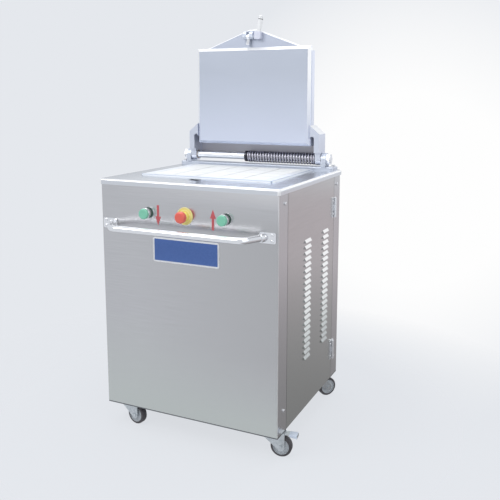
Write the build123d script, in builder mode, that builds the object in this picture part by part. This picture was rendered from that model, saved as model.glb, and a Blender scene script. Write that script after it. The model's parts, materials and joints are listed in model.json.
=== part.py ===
from build123d import *

import os
from math import cos, pi, radians, sin, tan

os.makedirs("parts", exist_ok=True)

# A hydraulic dough divider on castors. Millimetres, +Z up, +Y to the rear, and the origin on the floor
# under the middle of the cabinet. The lid is drawn open, as it stands when dough is loaded.

# Cabinet
cabinet_width = 680.0
cabinet_depth = 624.0
panel_bottom = 86.0
panel_height = 815.0
sheet = 1.5
panel_wrap = 76.0
rear_wrap = 71.5
panel_corner = 2.5
seam = 2.0

# Table
table_overhang = 6.0
table_lip = 20.0
table_sheet = 2.5
table_corner = 12.0
table_edge = 8.0
table_inner_edge = 2.0

# Frame and base plate
angle_leg = 40.0
angle_wall = 4.0
base_height = 102.0
base_thickness = 6.0
base_side_gap = 14.0

# Bed of blocks and knives
bed_columns = 5
bed_rows = 4
bed_side_room = 224.0
bed_end_room = 288.0
block_height = 40.0
block_edge = 1.2
knife_slot = 4.0
knife_thickness = 2.0
knife_height = 145.0
knife_below_rim = 1.0
bed_clearance = 1.5
bed_back = 6.0
stroke = 100.0

# Pot around the bed
pot_wall = 8.0
pot_height = 150.0
collar_width = 30.0
collar_thickness = 6.0
collar_corner = 6.0
pot_foot_width = 45.0
pot_foot_thickness = 10.0

# Lifting gear
column_radius = 10.0
column_inset = 24.0
carrier_thickness = 12.0
carrier_margin = 24.0
carrier_space = 10.0
post_radius = 11.0
press_barrel_radius = 40.0
press_barrel_wall = 8.5
press_rod_radius = 20.0
knife_barrel_radius = 25.0
knife_barrel_wall = 7.0
knife_rod_radius = 10.0
knife_barrel_share = 1.25
gland_length = 20.0
piston_length = 20.0
knife_stay_radius = 5.0
running_gap = 0.05
loose_gap = 1.5

# Hydraulic unit and wiring
tank_barrel_gap = 15.0
tank_side_gap = 20.5
tank_column_gap = 18.5
tank_height = 222.0
tank_wall = 3.0
filler_radius = 20.0
filler_height = 14.0
motor_radius = 70.0
motor_length = 160.0
motor_edge = 8.0
motor_axis_height = 90.0
motor_side_gap = 38.5
motor_rear = 88.0
motor_foot_width = 112.0
motor_foot_length = 24.0
motor_foot_inset = 40.0
terminal_width = 60.0
terminal_length = 70.0
terminal_height = 30.0
pump_size = 70.0
pump_length = 60.0
valve_width = 80.0
valve_depth = 70.0
valve_height = 92.0
valve_gap = 20.0
valve_column_gap = 13.5
valve_edge = 3.0
coil_radius = 15.0
coil_height = 46.0
port_spacing = 36.0
pressure_height = 32.0
return_height = 70.0
hose_radius = 8.0
hose_bend = 50.0
control_box_width = 200.0
control_box_depth = 58.0
control_box_height = 240.0
control_box_z = 680.0
gland_x = -200.0
gland_z = 200.0
gland_radius = 12.0
gland_bore = 6.5
gland_outside = 22.0
gland_inside = 12.0
gland_thread = 1.0
gland_nut = 4.0

# Controls on the front
control_z = 810.0
button_x = 150.0
button_radius = 18.0
button_thickness = 14.0
button_travel = 5.0
bezel_radius = 15.0
bezel_height = 8.0
barrel_radius = 11.0
plunger_radius = 7.0
barrel_inside = 4.0
cap_gap = 0.5
cap_edge = 3.0
bezel_edge = 1.5
contact_size = 36.0
contact_depth = 48.0
contact_edge = 3.0
plunger_room = 1.0
plunger_end_gap = 4.0
estop_disc_radius = 30.0
estop_disc_thickness = 1.5
estop_collar_radius = 15.0
estop_collar_height = 14.0
estop_head_radius = 20.0
estop_head_height = 17.0
estop_travel = 6.0
estop_pin_radius = 4.0
estop_gap = 1.0
estop_dome = 8.0
estop_back_edge = 2.0

# Push handle
handle_z = 762.0
handle_rise = 2.0
handle_foot_inset = 50.0
handle_splay = 39.0
handle_reach = 77.0
handle_radius = 11.0
handle_wall = 2.0
handle_bend = 36.0
foot_width = 57.0
foot_height = 36.0
foot_thickness = 4.0
foot_out = 13.5
foot_screw_out = 30.0
foot_screw_spacing = 20.5
foot_corner = 6.0

# Screws
screw_head_radius = 5.5
screw_head_height = 3.2
screw_radius = 2.5
front_screw_inset = 50.0
rear_screw_inset = 44.0
high_screw_drop = 52.0
low_screw_rise = 80.0

# Side doors
door_return = 12.0
louvre_count = 21
louvre_pitch = 21.3
louvre_low = 275.0
louvre_length = 56.0
louvre_rear_inset = 97.5
louvre_column_gap = 189.0
louvre_height = 11.5
louvre_depth = 6.0
louvre_skin = 1.2
hinge_length = 76.0
hinge_high_z = 781.0
hinge_low_z = 206.0
hinge_leaf = 20.0
hinge_leaf_thickness = 2.0
knuckle_radius = 5.5
knuckle_pin_radius = 3.0
knuckle_gap = 0.3
leaf_gap = 1.0

# Lid hinge
hinge_inset = 60.0
hinge_rise = 43.5
beam_front = 22.0
beam_depth = 60.0
beam_thickness = 14.0
beam_inset = 8.0
beam_corner = 10.0
beam_edge = 2.5
shaft_radius = 14.0
lug_radius = 24.0
lug_width = 19.0
lug_gap = 2.0
lug_flare = 2.0
lug_foot = 6.0
shaft_edge = 1.0
nut_across = 38.0
nut_thickness = 14.0
shaft_stub = 2.0
beam_bolt_across = 17.0
beam_bolt_height = 7.0
beam_bolt_edge = 1.0

# Lid
lid_gap = 0.5
lid_side_cover = 18.0
press_inset = 1.0
press_low = 50.5
press_end_cover = 21.5
press_thickness = 15.5
press_chamfer = 11.0
press_chamfer_depth = 10.0
lid_plate_thickness = 12.0
lid_top_margin = 10.0
nose_height = 58.5
nose_drop = 26.0
nose_half_width = 18.0
nose_chamfer = 4.0
nose_chamfer_depth = 3.0
lid_depth = 30.0
lid_wall = 10.0
lid_web = 6.0
lid_web_drop = 15.0
lid_rib = 8.0
lid_rib_depth = 14.0
ear_slot = 17.0
ear_slot_high = 88.0
ear_width = 22.0
ear_depth = 54.0
ear_front_low = 26.0
ear_straight = 97.0
ear_shoulder = 130.0
ear_radius = 24.0
bush_radius = 17.5
press_screw_side_inset = 60.0
press_screw_end_inset = 56.0
press_screw_radius = 8.0
press_screw_height = 7.0
press_screw_wall = 1.0

# Counterbalance spring
spring_wire = 6.5
spring_radius = 20.4
spring_turns = 22
spring_bend = 8.0
spring_left = -31.0
spring_collar_radius = 22.0
spring_collar_width = 10.0

# Latch hook and handle on the nose of the lid
latch_x = -15.0
latch_above_lid = 31.0
latch_forward = 32.0
latch_pin_radius = 4.0
latch_lug_radius = 10.0
latch_lug_tall = 10.0
latch_lug_width = 14.0
latch_lug_foot = 2.0
latch_side_gap = 1.0
latch_hook_width = 12.0
latch_arm = 5.0
latch_reach = 31.0
latch_barb = 6.0
latch_barb_height = 8.0
latch_pin_head = 7.0
latch_pin_head_height = 3.0
latch_slot_half = 20.0
latch_slot_front = 16.0
latch_slot_rear = 16.0
grip_x = 25.0
grip_lean = 14.0
grip_block_width = 27.0
grip_block_height = 30.0
grip_block_depth = 19.0
grip_radius = 9.0
grip_block_rise = 5.0
grip_block_edge = 5.0
grip_above_nose = 51.0
grip_edge = 3.0
grip_cap_radius = 9.4
grip_cap_length = 12.0

# Castors
castor_side_inset = 52.0
castor_front_inset = 52.0
castor_rear_inset = 84.0
castor_trail = 44.0
wheel_radius = 37.0
wheel_width = 24.0
wheel_edge = 5.0
wheel_rim = 10.0
wheel_recess = 4.0
wheel_boss = 11.0
axle_radius = 4.0
fork_gap = 2.5
fork_wall = 3.0
fork_crown_low = 80.0
fork_crown = 4.0
fork_boss = 13.0
fork_half_length = 24.0
race_radius = 24.0
race_gap = 0.5
castor_plate_x = 70.0
castor_plate_y = 75.0
castor_plate_thickness = 3.0
upper_race = 6.0
kingpin_radius = 6.0
kingpin_head_radius = 10.0
kingpin_head = 4.0
axle_nut_across = 13.0
axle_nut = 4.0
pedal_u = 52.0
pedal_z = 79.5
pedal_pin_radius = 3.0
pedal_barrel_radius = 5.0
pedal_reach = 100.0
pedal_thickness = 3.0
pedal_lip = 11.0
pedal_side_gap = 1.0
pedal_ear_radius = 6.0
fork_mouth = 2.0

# Worked out from the sizes above
half_width = cabinet_width / 2
half_depth = cabinet_depth / 2
inner_x = half_width - sheet
inner_y = half_depth - sheet
table_z = panel_bottom + panel_height + table_lip
table_under = table_z - table_sheet
table_width = cabinet_width + 2 * table_overhang
table_depth = cabinet_depth + 2 * table_overhang
base_top = base_height + base_thickness
bed_width = cabinet_width - bed_side_room
bed_depth = cabinet_depth - bed_end_room
block_width = (bed_width - (bed_columns - 1) * knife_slot) / bed_columns
block_depth = (bed_depth - (bed_rows - 1) * knife_slot) / bed_rows
column_pitch = block_width + knife_slot
row_pitch = block_depth + knife_slot
pot_inner_x = bed_width + 2 * bed_clearance
pot_inner_y = bed_depth + 2 * bed_clearance
rim_z = table_z + collar_thickness
pot_bottom = rim_z - pot_height
hinge_y = half_depth - hinge_inset
hinge_z = table_z + hinge_rise
press_high = press_low + bed_depth + 2 * press_end_cover
bed_y = hinge_y - (press_low + press_high) / 2 + bed_back
lid_half_width = bed_width / 2 + lid_side_cover
press_half_width = lid_half_width - press_inset
lid_low = press_low
lid_high = press_high + lid_top_margin
nose_high = lid_high + nose_height
nose_low = lid_high - nose_drop
latch_radius_out = lid_high + latch_above_lid
grip_high = nose_high + grip_above_nose
press_face_y = hinge_y - (hinge_z - rim_z - lid_gap)
press_back_y = press_face_y + press_thickness
lid_plate_back_y = press_back_y + lid_plate_thickness
lid_back_y = press_back_y + lid_depth
ear_back_y = press_back_y + ear_depth
beam_low_y = hinge_y - beam_front
beam_top = table_z + beam_thickness
block_top = rim_z
block_bottom = block_top - block_height
knife_top = rim_z - knife_below_rim
knife_bottom = knife_top - knife_height
carrier_top = knife_bottom - stroke - carrier_space
carrier_bottom = carrier_top - carrier_thickness
knife_plate_top = carrier_bottom - stroke - carrier_space
knife_plate_bottom = knife_plate_top - carrier_thickness
column_x = pot_inner_x / 2 + column_inset
column_y = pot_inner_y / 2 + column_inset
carrier_x = 2 * (column_x + carrier_margin)
carrier_y = 2 * (column_y + carrier_margin)
press_barrel_top = knife_plate_top - carrier_space
knife_barrel_top = knife_plate_bottom - stroke - 3 * carrier_space
door_low_z = panel_bottom + seam
door_high_z = panel_bottom + panel_height - seam
door_front_y = -half_depth + panel_wrap + seam
door_rear_y = half_depth - rear_wrap - seam
door_axis_y = door_rear_y + seam / 2
door_axis_x = half_width + knuckle_radius + knuckle_gap
front_screw_y = -half_depth + front_screw_inset
rear_screw_y = half_depth - rear_screw_inset
side_screw_high = table_z - high_screw_drop
side_screw_low = panel_bottom + low_screw_rise
louvre_rear_y = door_rear_y - louvre_rear_inset
louvre_front_y = louvre_rear_y - louvre_column_gap
handle_foot_x = half_width - handle_foot_inset
handle_bar_x = handle_foot_x - handle_splay
foot_x = handle_foot_x + foot_out
foot_screw_x = handle_foot_x + foot_screw_out
foot_z = handle_z + handle_rise
knife_barrel_x = knife_barrel_share * block_width
castor_x = half_width - castor_side_inset
castor_front_y = castor_front_inset - half_depth
castor_rear_y = half_depth - castor_rear_inset
latch_y = hinge_y - latch_forward
latch_z = hinge_z + latch_radius_out
ear_inner = lid_half_width + ear_slot
ear_outer = ear_inner + ear_width
lug_inner = ear_outer + lug_gap
lug_outer = lug_inner + lug_width
axle_z = wheel_radius

LOW = (Align.CENTER, Align.CENTER, Align.MIN)
HIGH = (Align.CENTER, Align.CENTER, Align.MAX)
SIDES = (-1, 1)


def front_plane(y):
    """Sketch plane facing the front at a given y: sketch x is X, sketch y is Z, extruding runs to -Y."""
    return Plane.XZ.offset(-y)


def side_plane(x):
    """Sketch plane facing +X at a given x: sketch x is Y, sketch y is Z, extruding runs to +X."""
    return Plane.YZ.offset(x)


def level(z):
    """Sketch plane facing up at a given height."""
    return Plane.XY.offset(z)


def save(piece, name):
    """Labels a finished piece and writes it."""
    piece.label = name
    export_step(piece, f"parts/{name}.step")


# Frame: four corner angles and a ring under the table
with BuildPart() as frame:
    with BuildSketch(level(base_top)):
        for sx in SIDES:
            for sy in SIDES:
                with Locations((sx * (inner_x - angle_leg / 2), sy * (inner_y - angle_wall / 2))):
                    Rectangle(angle_leg, angle_wall)
                with Locations((sx * (inner_x - angle_wall / 2), sy * (inner_y - angle_leg / 2))):
                    Rectangle(angle_wall, angle_leg)
    extrude(amount=table_under - base_top)
    with BuildSketch(level(table_under - angle_wall)):
        Rectangle(2 * inner_x, 2 * inner_y)
        Rectangle(2 * (inner_x - angle_leg), 2 * (inner_y - angle_leg), mode=Mode.SUBTRACT)
    extrude(amount=angle_wall)
save(frame.part, "frame")

# Base plate that carries the posts, the castors and the lifting gear
with BuildPart() as base_plate:
    with Locations((0, 0, base_height)):
        Box(2 * (inner_x - base_side_gap), 2 * inner_y, base_thickness, align=LOW)
save(base_plate.part, "base_plate")

# Front panel, wrapped round both front corners, with holes for the controls and the handle's screws
with BuildPart() as front_panel:
    with BuildSketch(level(panel_bottom)):
        with Locations((0, -half_depth + sheet / 2)):
            Rectangle(cabinet_width, sheet)
        with GridLocations(2 * half_width - sheet, 1, 2, 1):
            with Locations((0, -half_depth + panel_wrap / 2)):
                Rectangle(sheet, panel_wrap)
    extrude(amount=table_under - panel_bottom)
    fillet(front_panel.edges().filter_by(Axis.Z).group_by(Axis.Y)[0], panel_corner)
    with BuildSketch(front_plane(-inner_y)):
        with Locations((-button_x, control_z), (0, control_z), (button_x, control_z)):
            Circle(barrel_radius + running_gap)
        for sx in SIDES:
            with Locations((sx * foot_screw_x, foot_z)):
                with GridLocations(1, foot_screw_spacing, 1, 2):
                    Circle(screw_radius + running_gap)
    extrude(amount=sheet, mode=Mode.SUBTRACT)
    with BuildSketch(side_plane(-half_width)):
        with Locations((front_screw_y, side_screw_high), (front_screw_y, side_screw_low)):
            Circle(screw_radius + running_gap)
    extrude(amount=cabinet_width, mode=Mode.SUBTRACT)
save(front_panel.part, "front_panel")

# Rear panel, wrapped round both rear corners, with the hole for the cable gland
with BuildPart() as rear_panel:
    with BuildSketch(level(panel_bottom)):
        with Locations((0, half_depth - sheet / 2)):
            Rectangle(cabinet_width, sheet)
        with GridLocations(2 * half_width - sheet, 1, 2, 1):
            with Locations((0, half_depth - rear_wrap / 2)):
                Rectangle(sheet, rear_wrap)
    extrude(amount=table_under - panel_bottom)
    fillet(rear_panel.edges().filter_by(Axis.Z).group_by(Axis.Y)[-1], panel_corner)
    with BuildSketch(front_plane(half_depth)):
        with Locations((gland_x, gland_z)):
            Circle(gland_radius + running_gap)
    extrude(amount=sheet, mode=Mode.SUBTRACT)
    with BuildSketch(side_plane(-half_width)):
        with Locations((rear_screw_y, side_screw_high), (rear_screw_y, side_screw_low)):
            Circle(screw_radius + running_gap)
    extrude(amount=cabinet_width, mode=Mode.SUBTRACT)
save(rear_panel.part, "rear_panel")

# Table with rounded lips, the opening for the pot and the slot for the latch hook
with BuildPart() as table_hollow:
    with Locations((0, 0, table_under)):
        Box(table_width - 2 * table_sheet, table_depth - 2 * table_sheet, table_lip - table_sheet, align=HIGH)
    fillet(table_hollow.edges().filter_by(Axis.Z), table_corner - table_sheet)
    fillet(table_hollow.faces().sort_by(Axis.Z)[-1].edges(), table_inner_edge)

with BuildPart() as table_top:
    with Locations((0, 0, table_z)):
        Box(table_width, table_depth, table_lip, align=HIGH)
    fillet(table_top.edges().filter_by(Axis.Z), table_corner)
    fillet(table_top.faces().sort_by(Axis.Z)[-1].edges(), table_edge)
    add(table_hollow.part, mode=Mode.SUBTRACT)
    with BuildSketch(level(table_under)):
        with Locations((0, bed_y)):
            Rectangle(
                pot_inner_x + 2 * (pot_wall + running_gap), pot_inner_y + 2 * (pot_wall + running_gap)
            )
        with Locations((latch_x, hinge_y - latch_radius_out + (latch_slot_rear - latch_slot_front) / 2)):
            Rectangle(2 * latch_slot_half, latch_slot_rear + latch_slot_front)
    extrude(amount=table_sheet, mode=Mode.SUBTRACT)
save(table_top.part, "table_top")

# Pot: four walls with a collar on the table and a foot flange below
with BuildPart() as pot:
    with BuildSketch(level(pot_bottom)):
        with Locations((0, bed_y)):
            Rectangle(pot_inner_x + 2 * pot_wall, pot_inner_y + 2 * pot_wall)
    extrude(amount=pot_height)
    with BuildSketch(level(table_z)):
        with Locations((0, bed_y)):
            RectangleRounded(
                pot_inner_x + 2 * collar_width, pot_inner_y + 2 * collar_width, collar_corner
            )
    extrude(amount=collar_thickness)
    chamfer(pot.faces().sort_by(Axis.Z)[-1].edges(), collar_thickness / 4)
    with BuildSketch(level(pot_bottom)):
        with Locations((0, bed_y)):
            Rectangle(pot_inner_x + 2 * pot_foot_width, pot_inner_y + 2 * pot_foot_width)
    extrude(amount=pot_foot_thickness)
    with BuildSketch(level(pot_bottom)):
        with Locations((0, bed_y)):
            Rectangle(pot_inner_x, pot_inner_y)
    extrude(amount=pot_height, mode=Mode.SUBTRACT)
save(pot.part, "pot")

# Four columns that hold the pot up and guide both carriers
with BuildPart() as guide_columns:
    with BuildSketch(level(base_top)):
        with Locations((0, bed_y)):
            with GridLocations(2 * column_x, 2 * column_y, 2, 2):
                Circle(column_radius)
    extrude(amount=pot_bottom - base_top)
save(guide_columns.part, "guide_columns")

# Barrels of the press cylinder and of the two knife cylinders
with BuildPart() as lift_cylinders:
    with Locations((0, bed_y, base_top)):
        Cylinder(press_barrel_radius, press_barrel_top - base_top, align=LOW)
    with Locations((-knife_barrel_x, bed_y, base_top), (knife_barrel_x, bed_y, base_top)):
        Cylinder(knife_barrel_radius, knife_barrel_top - base_top, align=LOW)
    with Locations((0, bed_y, base_top + press_barrel_wall)):
        Cylinder(
            press_barrel_radius - press_barrel_wall,
            press_barrel_top - gland_length - base_top - press_barrel_wall,
            align=LOW,
            mode=Mode.SUBTRACT,
        )
        Cylinder(
            press_rod_radius + running_gap, press_barrel_top - base_top, align=LOW, mode=Mode.SUBTRACT
        )
    with Locations(*[(s * knife_barrel_x, bed_y, base_top + knife_barrel_wall) for s in SIDES]):
        Cylinder(
            knife_barrel_radius - knife_barrel_wall,
            knife_barrel_top - gland_length - base_top - knife_barrel_wall,
            align=LOW,
            mode=Mode.SUBTRACT,
        )
        Cylinder(
            knife_rod_radius + running_gap, knife_barrel_top - base_top, align=LOW, mode=Mode.SUBTRACT
        )
save(lift_cylinders.part, "lift_cylinders")

# Oil tank beside the left door, with its filler neck
tank_left = -(inner_x - tank_side_gap)
tank_right = -(knife_barrel_x + knife_barrel_radius + tank_barrel_gap)
tank_width = tank_right - tank_left
tank_depth = 2 * (column_y - column_radius - tank_column_gap)
tank_x = (tank_left + tank_right) / 2
with BuildPart() as oil_tank:
    with Locations((tank_x, bed_y, base_top)):
        Box(tank_width, tank_depth, tank_height, align=LOW)
    fillet(oil_tank.edges().filter_by(Axis.Z), tank_wall)
    with Locations((tank_x, bed_y - tank_depth / 4, base_top + tank_height)):
        Cylinder(filler_radius, filler_height, align=LOW)
    with Locations((tank_x, bed_y, base_top + tank_wall)):
        Box(
            tank_width - 2 * tank_wall,
            tank_depth - 2 * tank_wall,
            tank_height - 2 * tank_wall,
            align=LOW,
            mode=Mode.SUBTRACT,
        )
    with Locations((tank_x, bed_y - tank_depth / 4, base_top + tank_height - tank_wall)):
        Cylinder(filler_radius - tank_wall, tank_wall + filler_height, align=LOW, mode=Mode.SUBTRACT)
save(oil_tank.part, "oil_tank")

# Electric motor with the pump on its front end, on two feet, beside the right door
motor_x = inner_x - motor_side_gap - motor_radius
motor_back = bed_y + motor_rear
motor_front = motor_back - motor_length
motor_z = base_top + motor_axis_height
with BuildPart() as pump_motor:
    with BuildSketch(front_plane(motor_back)):
        with Locations((motor_x, motor_z)):
            Circle(motor_radius)
    extrude(amount=motor_length)
    fillet(pump_motor.edges(), motor_edge)
    with BuildSketch(front_plane(motor_front)):
        with Locations((motor_x, motor_z)):
            Rectangle(pump_size, pump_size)
    extrude(amount=pump_length)
    for foot_y in (motor_back - motor_foot_inset, motor_front + motor_foot_inset):
        with Locations((motor_x, foot_y, base_top)):
            Box(motor_foot_width, motor_foot_length, motor_axis_height - motor_radius / 2, align=LOW)
    with Locations((motor_x, (motor_back + motor_front) / 2, motor_z)):
        Box(terminal_width, terminal_length, motor_radius + terminal_height, align=LOW)
save(pump_motor.part, "pump_motor")

# Valve block behind the motor and beside the rear column, with two solenoid coils on top
valve_x = column_x - column_radius - valve_column_gap - valve_width / 2
valve_y = motor_back + valve_gap + valve_depth / 2
with BuildPart() as valve_block:
    with Locations((valve_x, valve_y, base_top)):
        Box(valve_width, valve_depth, valve_height, align=LOW)
    chamfer(valve_block.edges().filter_by(Axis.Z), valve_edge)
    with Locations((valve_x, valve_y, base_top + valve_height)):
        with GridLocations(valve_width / 2, 1, 2, 1):
            Cylinder(coil_radius, coil_height, align=LOW)
save(valve_block.part, "valve_block")

# Pressure hose to the press cylinder and return hose to the tank
valve_left = valve_x - valve_width / 2
pressure_y = valve_y - port_spacing / 2
pressure_z = base_top + pressure_height
return_z = base_top + return_height
with BuildPart() as hydraulic_hoses:
    with BuildLine():
        FilletPolyline(
            (valve_left, pressure_y, pressure_z),
            (0, pressure_y, pressure_z),
            (0, bed_y + press_barrel_radius, pressure_z),
            radius=hose_bend,
        )
    with BuildSketch(side_plane(valve_left)):
        with Locations((pressure_y, pressure_z)):
            Circle(hose_radius)
    sweep()
    with BuildSketch(side_plane(tank_right)):
        with Locations((pressure_y + port_spacing, return_z)):
            Circle(hose_radius)
    extrude(amount=valve_left - tank_right)
save(hydraulic_hoses.part, "hydraulic_hoses")

# Electrical box on the inside of the rear panel
with BuildPart() as control_box:
    with Locations((0, inner_y - control_box_depth / 2, control_box_z)):
        Box(control_box_width, control_box_depth, control_box_height)
    fillet(control_box.edges().filter_by(Axis.Y), 2 * sheet)
    with Locations((0, inner_y - control_box_depth / 2 + sheet / 2, control_box_z)):
        Box(
            control_box_width - 2 * sheet,
            control_box_depth - sheet,
            control_box_height - 2 * sheet,
            mode=Mode.SUBTRACT,
        )
save(control_box.part, "control_box")

# Cable gland in the rear panel: threaded body, outside nut and inside nut
with BuildPart() as cable_gland:
    with BuildSketch(front_plane(half_depth + gland_outside)):
        with Locations((gland_x, gland_z)):
            Circle(gland_radius - gland_thread)
    extrude(amount=gland_outside + sheet + gland_inside)
    with BuildSketch(front_plane(half_depth + gland_outside / 2)):
        with Locations((gland_x, gland_z)):
            RegularPolygon(gland_radius + gland_nut, 6)
    extrude(amount=gland_outside / 2)
    with BuildSketch(front_plane(inner_y)):
        with Locations((gland_x, gland_z)):
            RegularPolygon(gland_radius + gland_nut, 6)
    extrude(amount=gland_inside / 2)
    with BuildSketch(front_plane(half_depth)):
        with Locations((gland_x, gland_z)):
            Circle(gland_radius)
    extrude(amount=sheet)
    with BuildSketch(front_plane(half_depth + gland_outside)):
        with Locations((gland_x, gland_z)):
            Circle(gland_bore)
    extrude(amount=gland_outside + sheet + gland_inside, mode=Mode.SUBTRACT)
save(cable_gland.part, "cable_gland")

# Bezels of the three controls: a collar in front of the panel and a barrel through it
button_collar_y = -half_depth - bezel_height
estop_base_y = -half_depth - estop_disc_thickness
estop_collar_y = estop_base_y - estop_collar_height
barrel_back_y = -inner_y + barrel_inside
with BuildPart() as control_bezels:
    with BuildSketch(front_plane(-half_depth)):
        with Locations((-button_x, control_z), (button_x, control_z)):
            Circle(bezel_radius)
    extrude(amount=bezel_height)
    with BuildSketch(front_plane(estop_base_y)):
        with Locations((0, control_z)):
            Circle(estop_collar_radius)
    extrude(amount=estop_collar_height)
    fillet(control_bezels.faces().filter_by(Axis.Y).group_by(Axis.Y)[0].edges(), bezel_edge)
    fillet(control_bezels.faces().filter_by(Axis.Y).group_by(Axis.Y)[1].edges(), bezel_edge)
    with BuildSketch(front_plane(barrel_back_y)):
        with Locations((-button_x, control_z), (0, control_z), (button_x, control_z)):
            Circle(barrel_radius)
    extrude(amount=barrel_back_y - estop_base_y)
    with BuildSketch(front_plane(barrel_back_y)):
        with Locations((-button_x, control_z), (0, control_z), (button_x, control_z)):
            Circle(plunger_radius + running_gap)
    extrude(amount=barrel_back_y - estop_collar_y, mode=Mode.SUBTRACT)
save(control_bezels.part, "control_bezels")

# Contact blocks behind the panel, each hollow in the middle where its plunger comes in
with BuildPart() as contact_blocks:
    with BuildSketch(front_plane(barrel_back_y + contact_depth)):
        with Locations((-button_x, control_z), (0, control_z), (button_x, control_z)):
            RectangleRounded(contact_size, contact_size, contact_edge)
    extrude(amount=contact_depth)
    with BuildSketch(front_plane(barrel_back_y + estop_travel + plunger_end_gap)):
        with Locations((-button_x, control_z), (0, control_z), (button_x, control_z)):
            Circle(plunger_radius + plunger_room)
    extrude(amount=estop_travel + plunger_end_gap, mode=Mode.SUBTRACT)
save(contact_blocks.part, "contact_blocks")

# Yellow disc under the emergency stop
with BuildPart() as estop_disc:
    with BuildSketch(front_plane(-half_depth)):
        with Locations((0, control_z)):
            Circle(estop_disc_radius)
            Circle(barrel_radius + running_gap, mode=Mode.SUBTRACT)
    extrude(amount=estop_disc_thickness)
save(estop_disc.part, "estop_disc")


def push_button(name, x):
    """A mushroom push button: a wide cap on a plunger that slides in the bezel."""
    cap_back_y = button_collar_y - button_travel - cap_gap
    with BuildPart() as button:
        with BuildSketch(front_plane(cap_back_y)):
            with Locations((x, control_z)):
                Circle(button_radius)
        extrude(amount=button_thickness)
        fillet(button.faces().sort_by(Axis.Y)[0].edges(), cap_edge)
        with BuildSketch(front_plane(barrel_back_y)):
            with Locations((x, control_z)):
                Circle(plunger_radius)
        extrude(amount=barrel_back_y - cap_back_y)
    save(button.part, name)


push_button("down_button", -button_x)
push_button("up_button", button_x)

# Emergency stop: a stem that slides and a mushroom head that twists on it
estop_head_y = estop_collar_y - estop_travel - estop_gap
with BuildPart() as estop_stem:
    with BuildSketch(front_plane(barrel_back_y)):
        with Locations((0, control_z)):
            Circle(plunger_radius)
    extrude(amount=barrel_back_y - estop_head_y)
    with BuildSketch(front_plane(estop_head_y)):
        with Locations((0, control_z)):
            Circle(estop_pin_radius)
    extrude(amount=estop_head_height / 2)
save(estop_stem.part, "estop_stem")

with BuildPart() as estop_head:
    with BuildSketch(front_plane(estop_head_y)):
        with Locations((0, control_z)):
            Circle(estop_head_radius)
    extrude(amount=estop_head_height)
    fillet(estop_head.faces().sort_by(Axis.Y)[0].edges(), estop_dome)
    fillet(estop_head.faces().sort_by(Axis.Y)[-1].edges(), estop_back_edge)
    with BuildSketch(front_plane(estop_head_y)):
        with Locations((0, control_z)):
            Circle(estop_pin_radius + running_gap)
    extrude(amount=estop_head_height / 2, mode=Mode.SUBTRACT)
save(estop_head.part, "estop_head")

# Push handle: one bent tube, drawn past its feet and cut off at their faces, at each foot's inner end
foot_face_y = -half_depth - foot_thickness
bar_corner = Vector(handle_bar_x, -half_depth - handle_reach, handle_z)
foot_point = Vector(handle_foot_x, foot_face_y, foot_z)
leg_start = foot_point + (foot_point - bar_corner) * 0.5
with BuildPart() as handle_bar:
    with BuildLine():
        FilletPolyline(
            (-leg_start.X, leg_start.Y, leg_start.Z),
            (-bar_corner.X, bar_corner.Y, bar_corner.Z),
            bar_corner,
            leg_start,
            radius=handle_bend,
        )
    leg_way = bar_corner - leg_start
    with BuildSketch(
        Plane(origin=(-leg_start.X, leg_start.Y, leg_start.Z), z_dir=(-leg_way.X, leg_way.Y, leg_way.Z))
    ):
        Circle(handle_radius)
        Circle(handle_radius - handle_wall, mode=Mode.SUBTRACT)
    sweep()
    split(bisect_by=front_plane(foot_face_y), keep=Keep.TOP)
save(handle_bar.part, "handle_bar")

with BuildPart() as handle_feet:
    with BuildSketch(front_plane(-half_depth)):
        for sx in SIDES:
            with Locations((sx * foot_x, foot_z)):
                RectangleRounded(foot_width, foot_height, foot_corner)
            with Locations((sx * foot_screw_x, foot_z)):
                with GridLocations(1, foot_screw_spacing, 1, 2):
                    Circle(screw_radius + running_gap, mode=Mode.SUBTRACT)
    extrude(amount=foot_thickness)
save(handle_feet.part, "handle_feet")

# Pan-head screws: two through each handle foot and two through each panel wrap on the sides
with BuildPart() as panel_screws:
    with BuildSketch(front_plane(foot_face_y)):
        for sx in SIDES:
            with Locations((sx * foot_screw_x, foot_z)):
                with GridLocations(1, foot_screw_spacing, 1, 2):
                    Circle(screw_head_radius)
    extrude(amount=screw_head_height)
    with BuildSketch(front_plane(-inner_y)):
        for sx in SIDES:
            with Locations((sx * foot_screw_x, foot_z)):
                with GridLocations(1, foot_screw_spacing, 1, 2):
                    Circle(screw_radius)
    extrude(amount=sheet + foot_thickness)
    side_places = [(y, z) for y in (front_screw_y, rear_screw_y) for z in (side_screw_low, side_screw_high)]
    for start_x, head_x in ((-half_width, -half_width - screw_head_height), (inner_x, half_width)):
        with BuildSketch(side_plane(start_x)):
            with Locations(*side_places):
                Circle(screw_radius)
        extrude(amount=sheet)
        with BuildSketch(side_plane(head_x)):
            with Locations(*side_places):
                Circle(screw_head_radius)
        extrude(amount=screw_head_height)
save(panel_screws.part, "panel_screws")

# Beam across the rear of the table that carries the lid's hinge
beam_half = table_width / 2 - beam_inset
beam_mid_y = beam_low_y + beam_depth / 2
with BuildPart() as hinge_beam:
    with Locations((0, beam_mid_y, table_z)):
        Box(2 * beam_half, beam_depth, beam_thickness, align=LOW)
    fillet(hinge_beam.edges().filter_by(Axis.Z), beam_corner)
    fillet(hinge_beam.faces().sort_by(Axis.Z)[-1].edges(), beam_edge)
save(hinge_beam.part, "hinge_beam")

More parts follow.
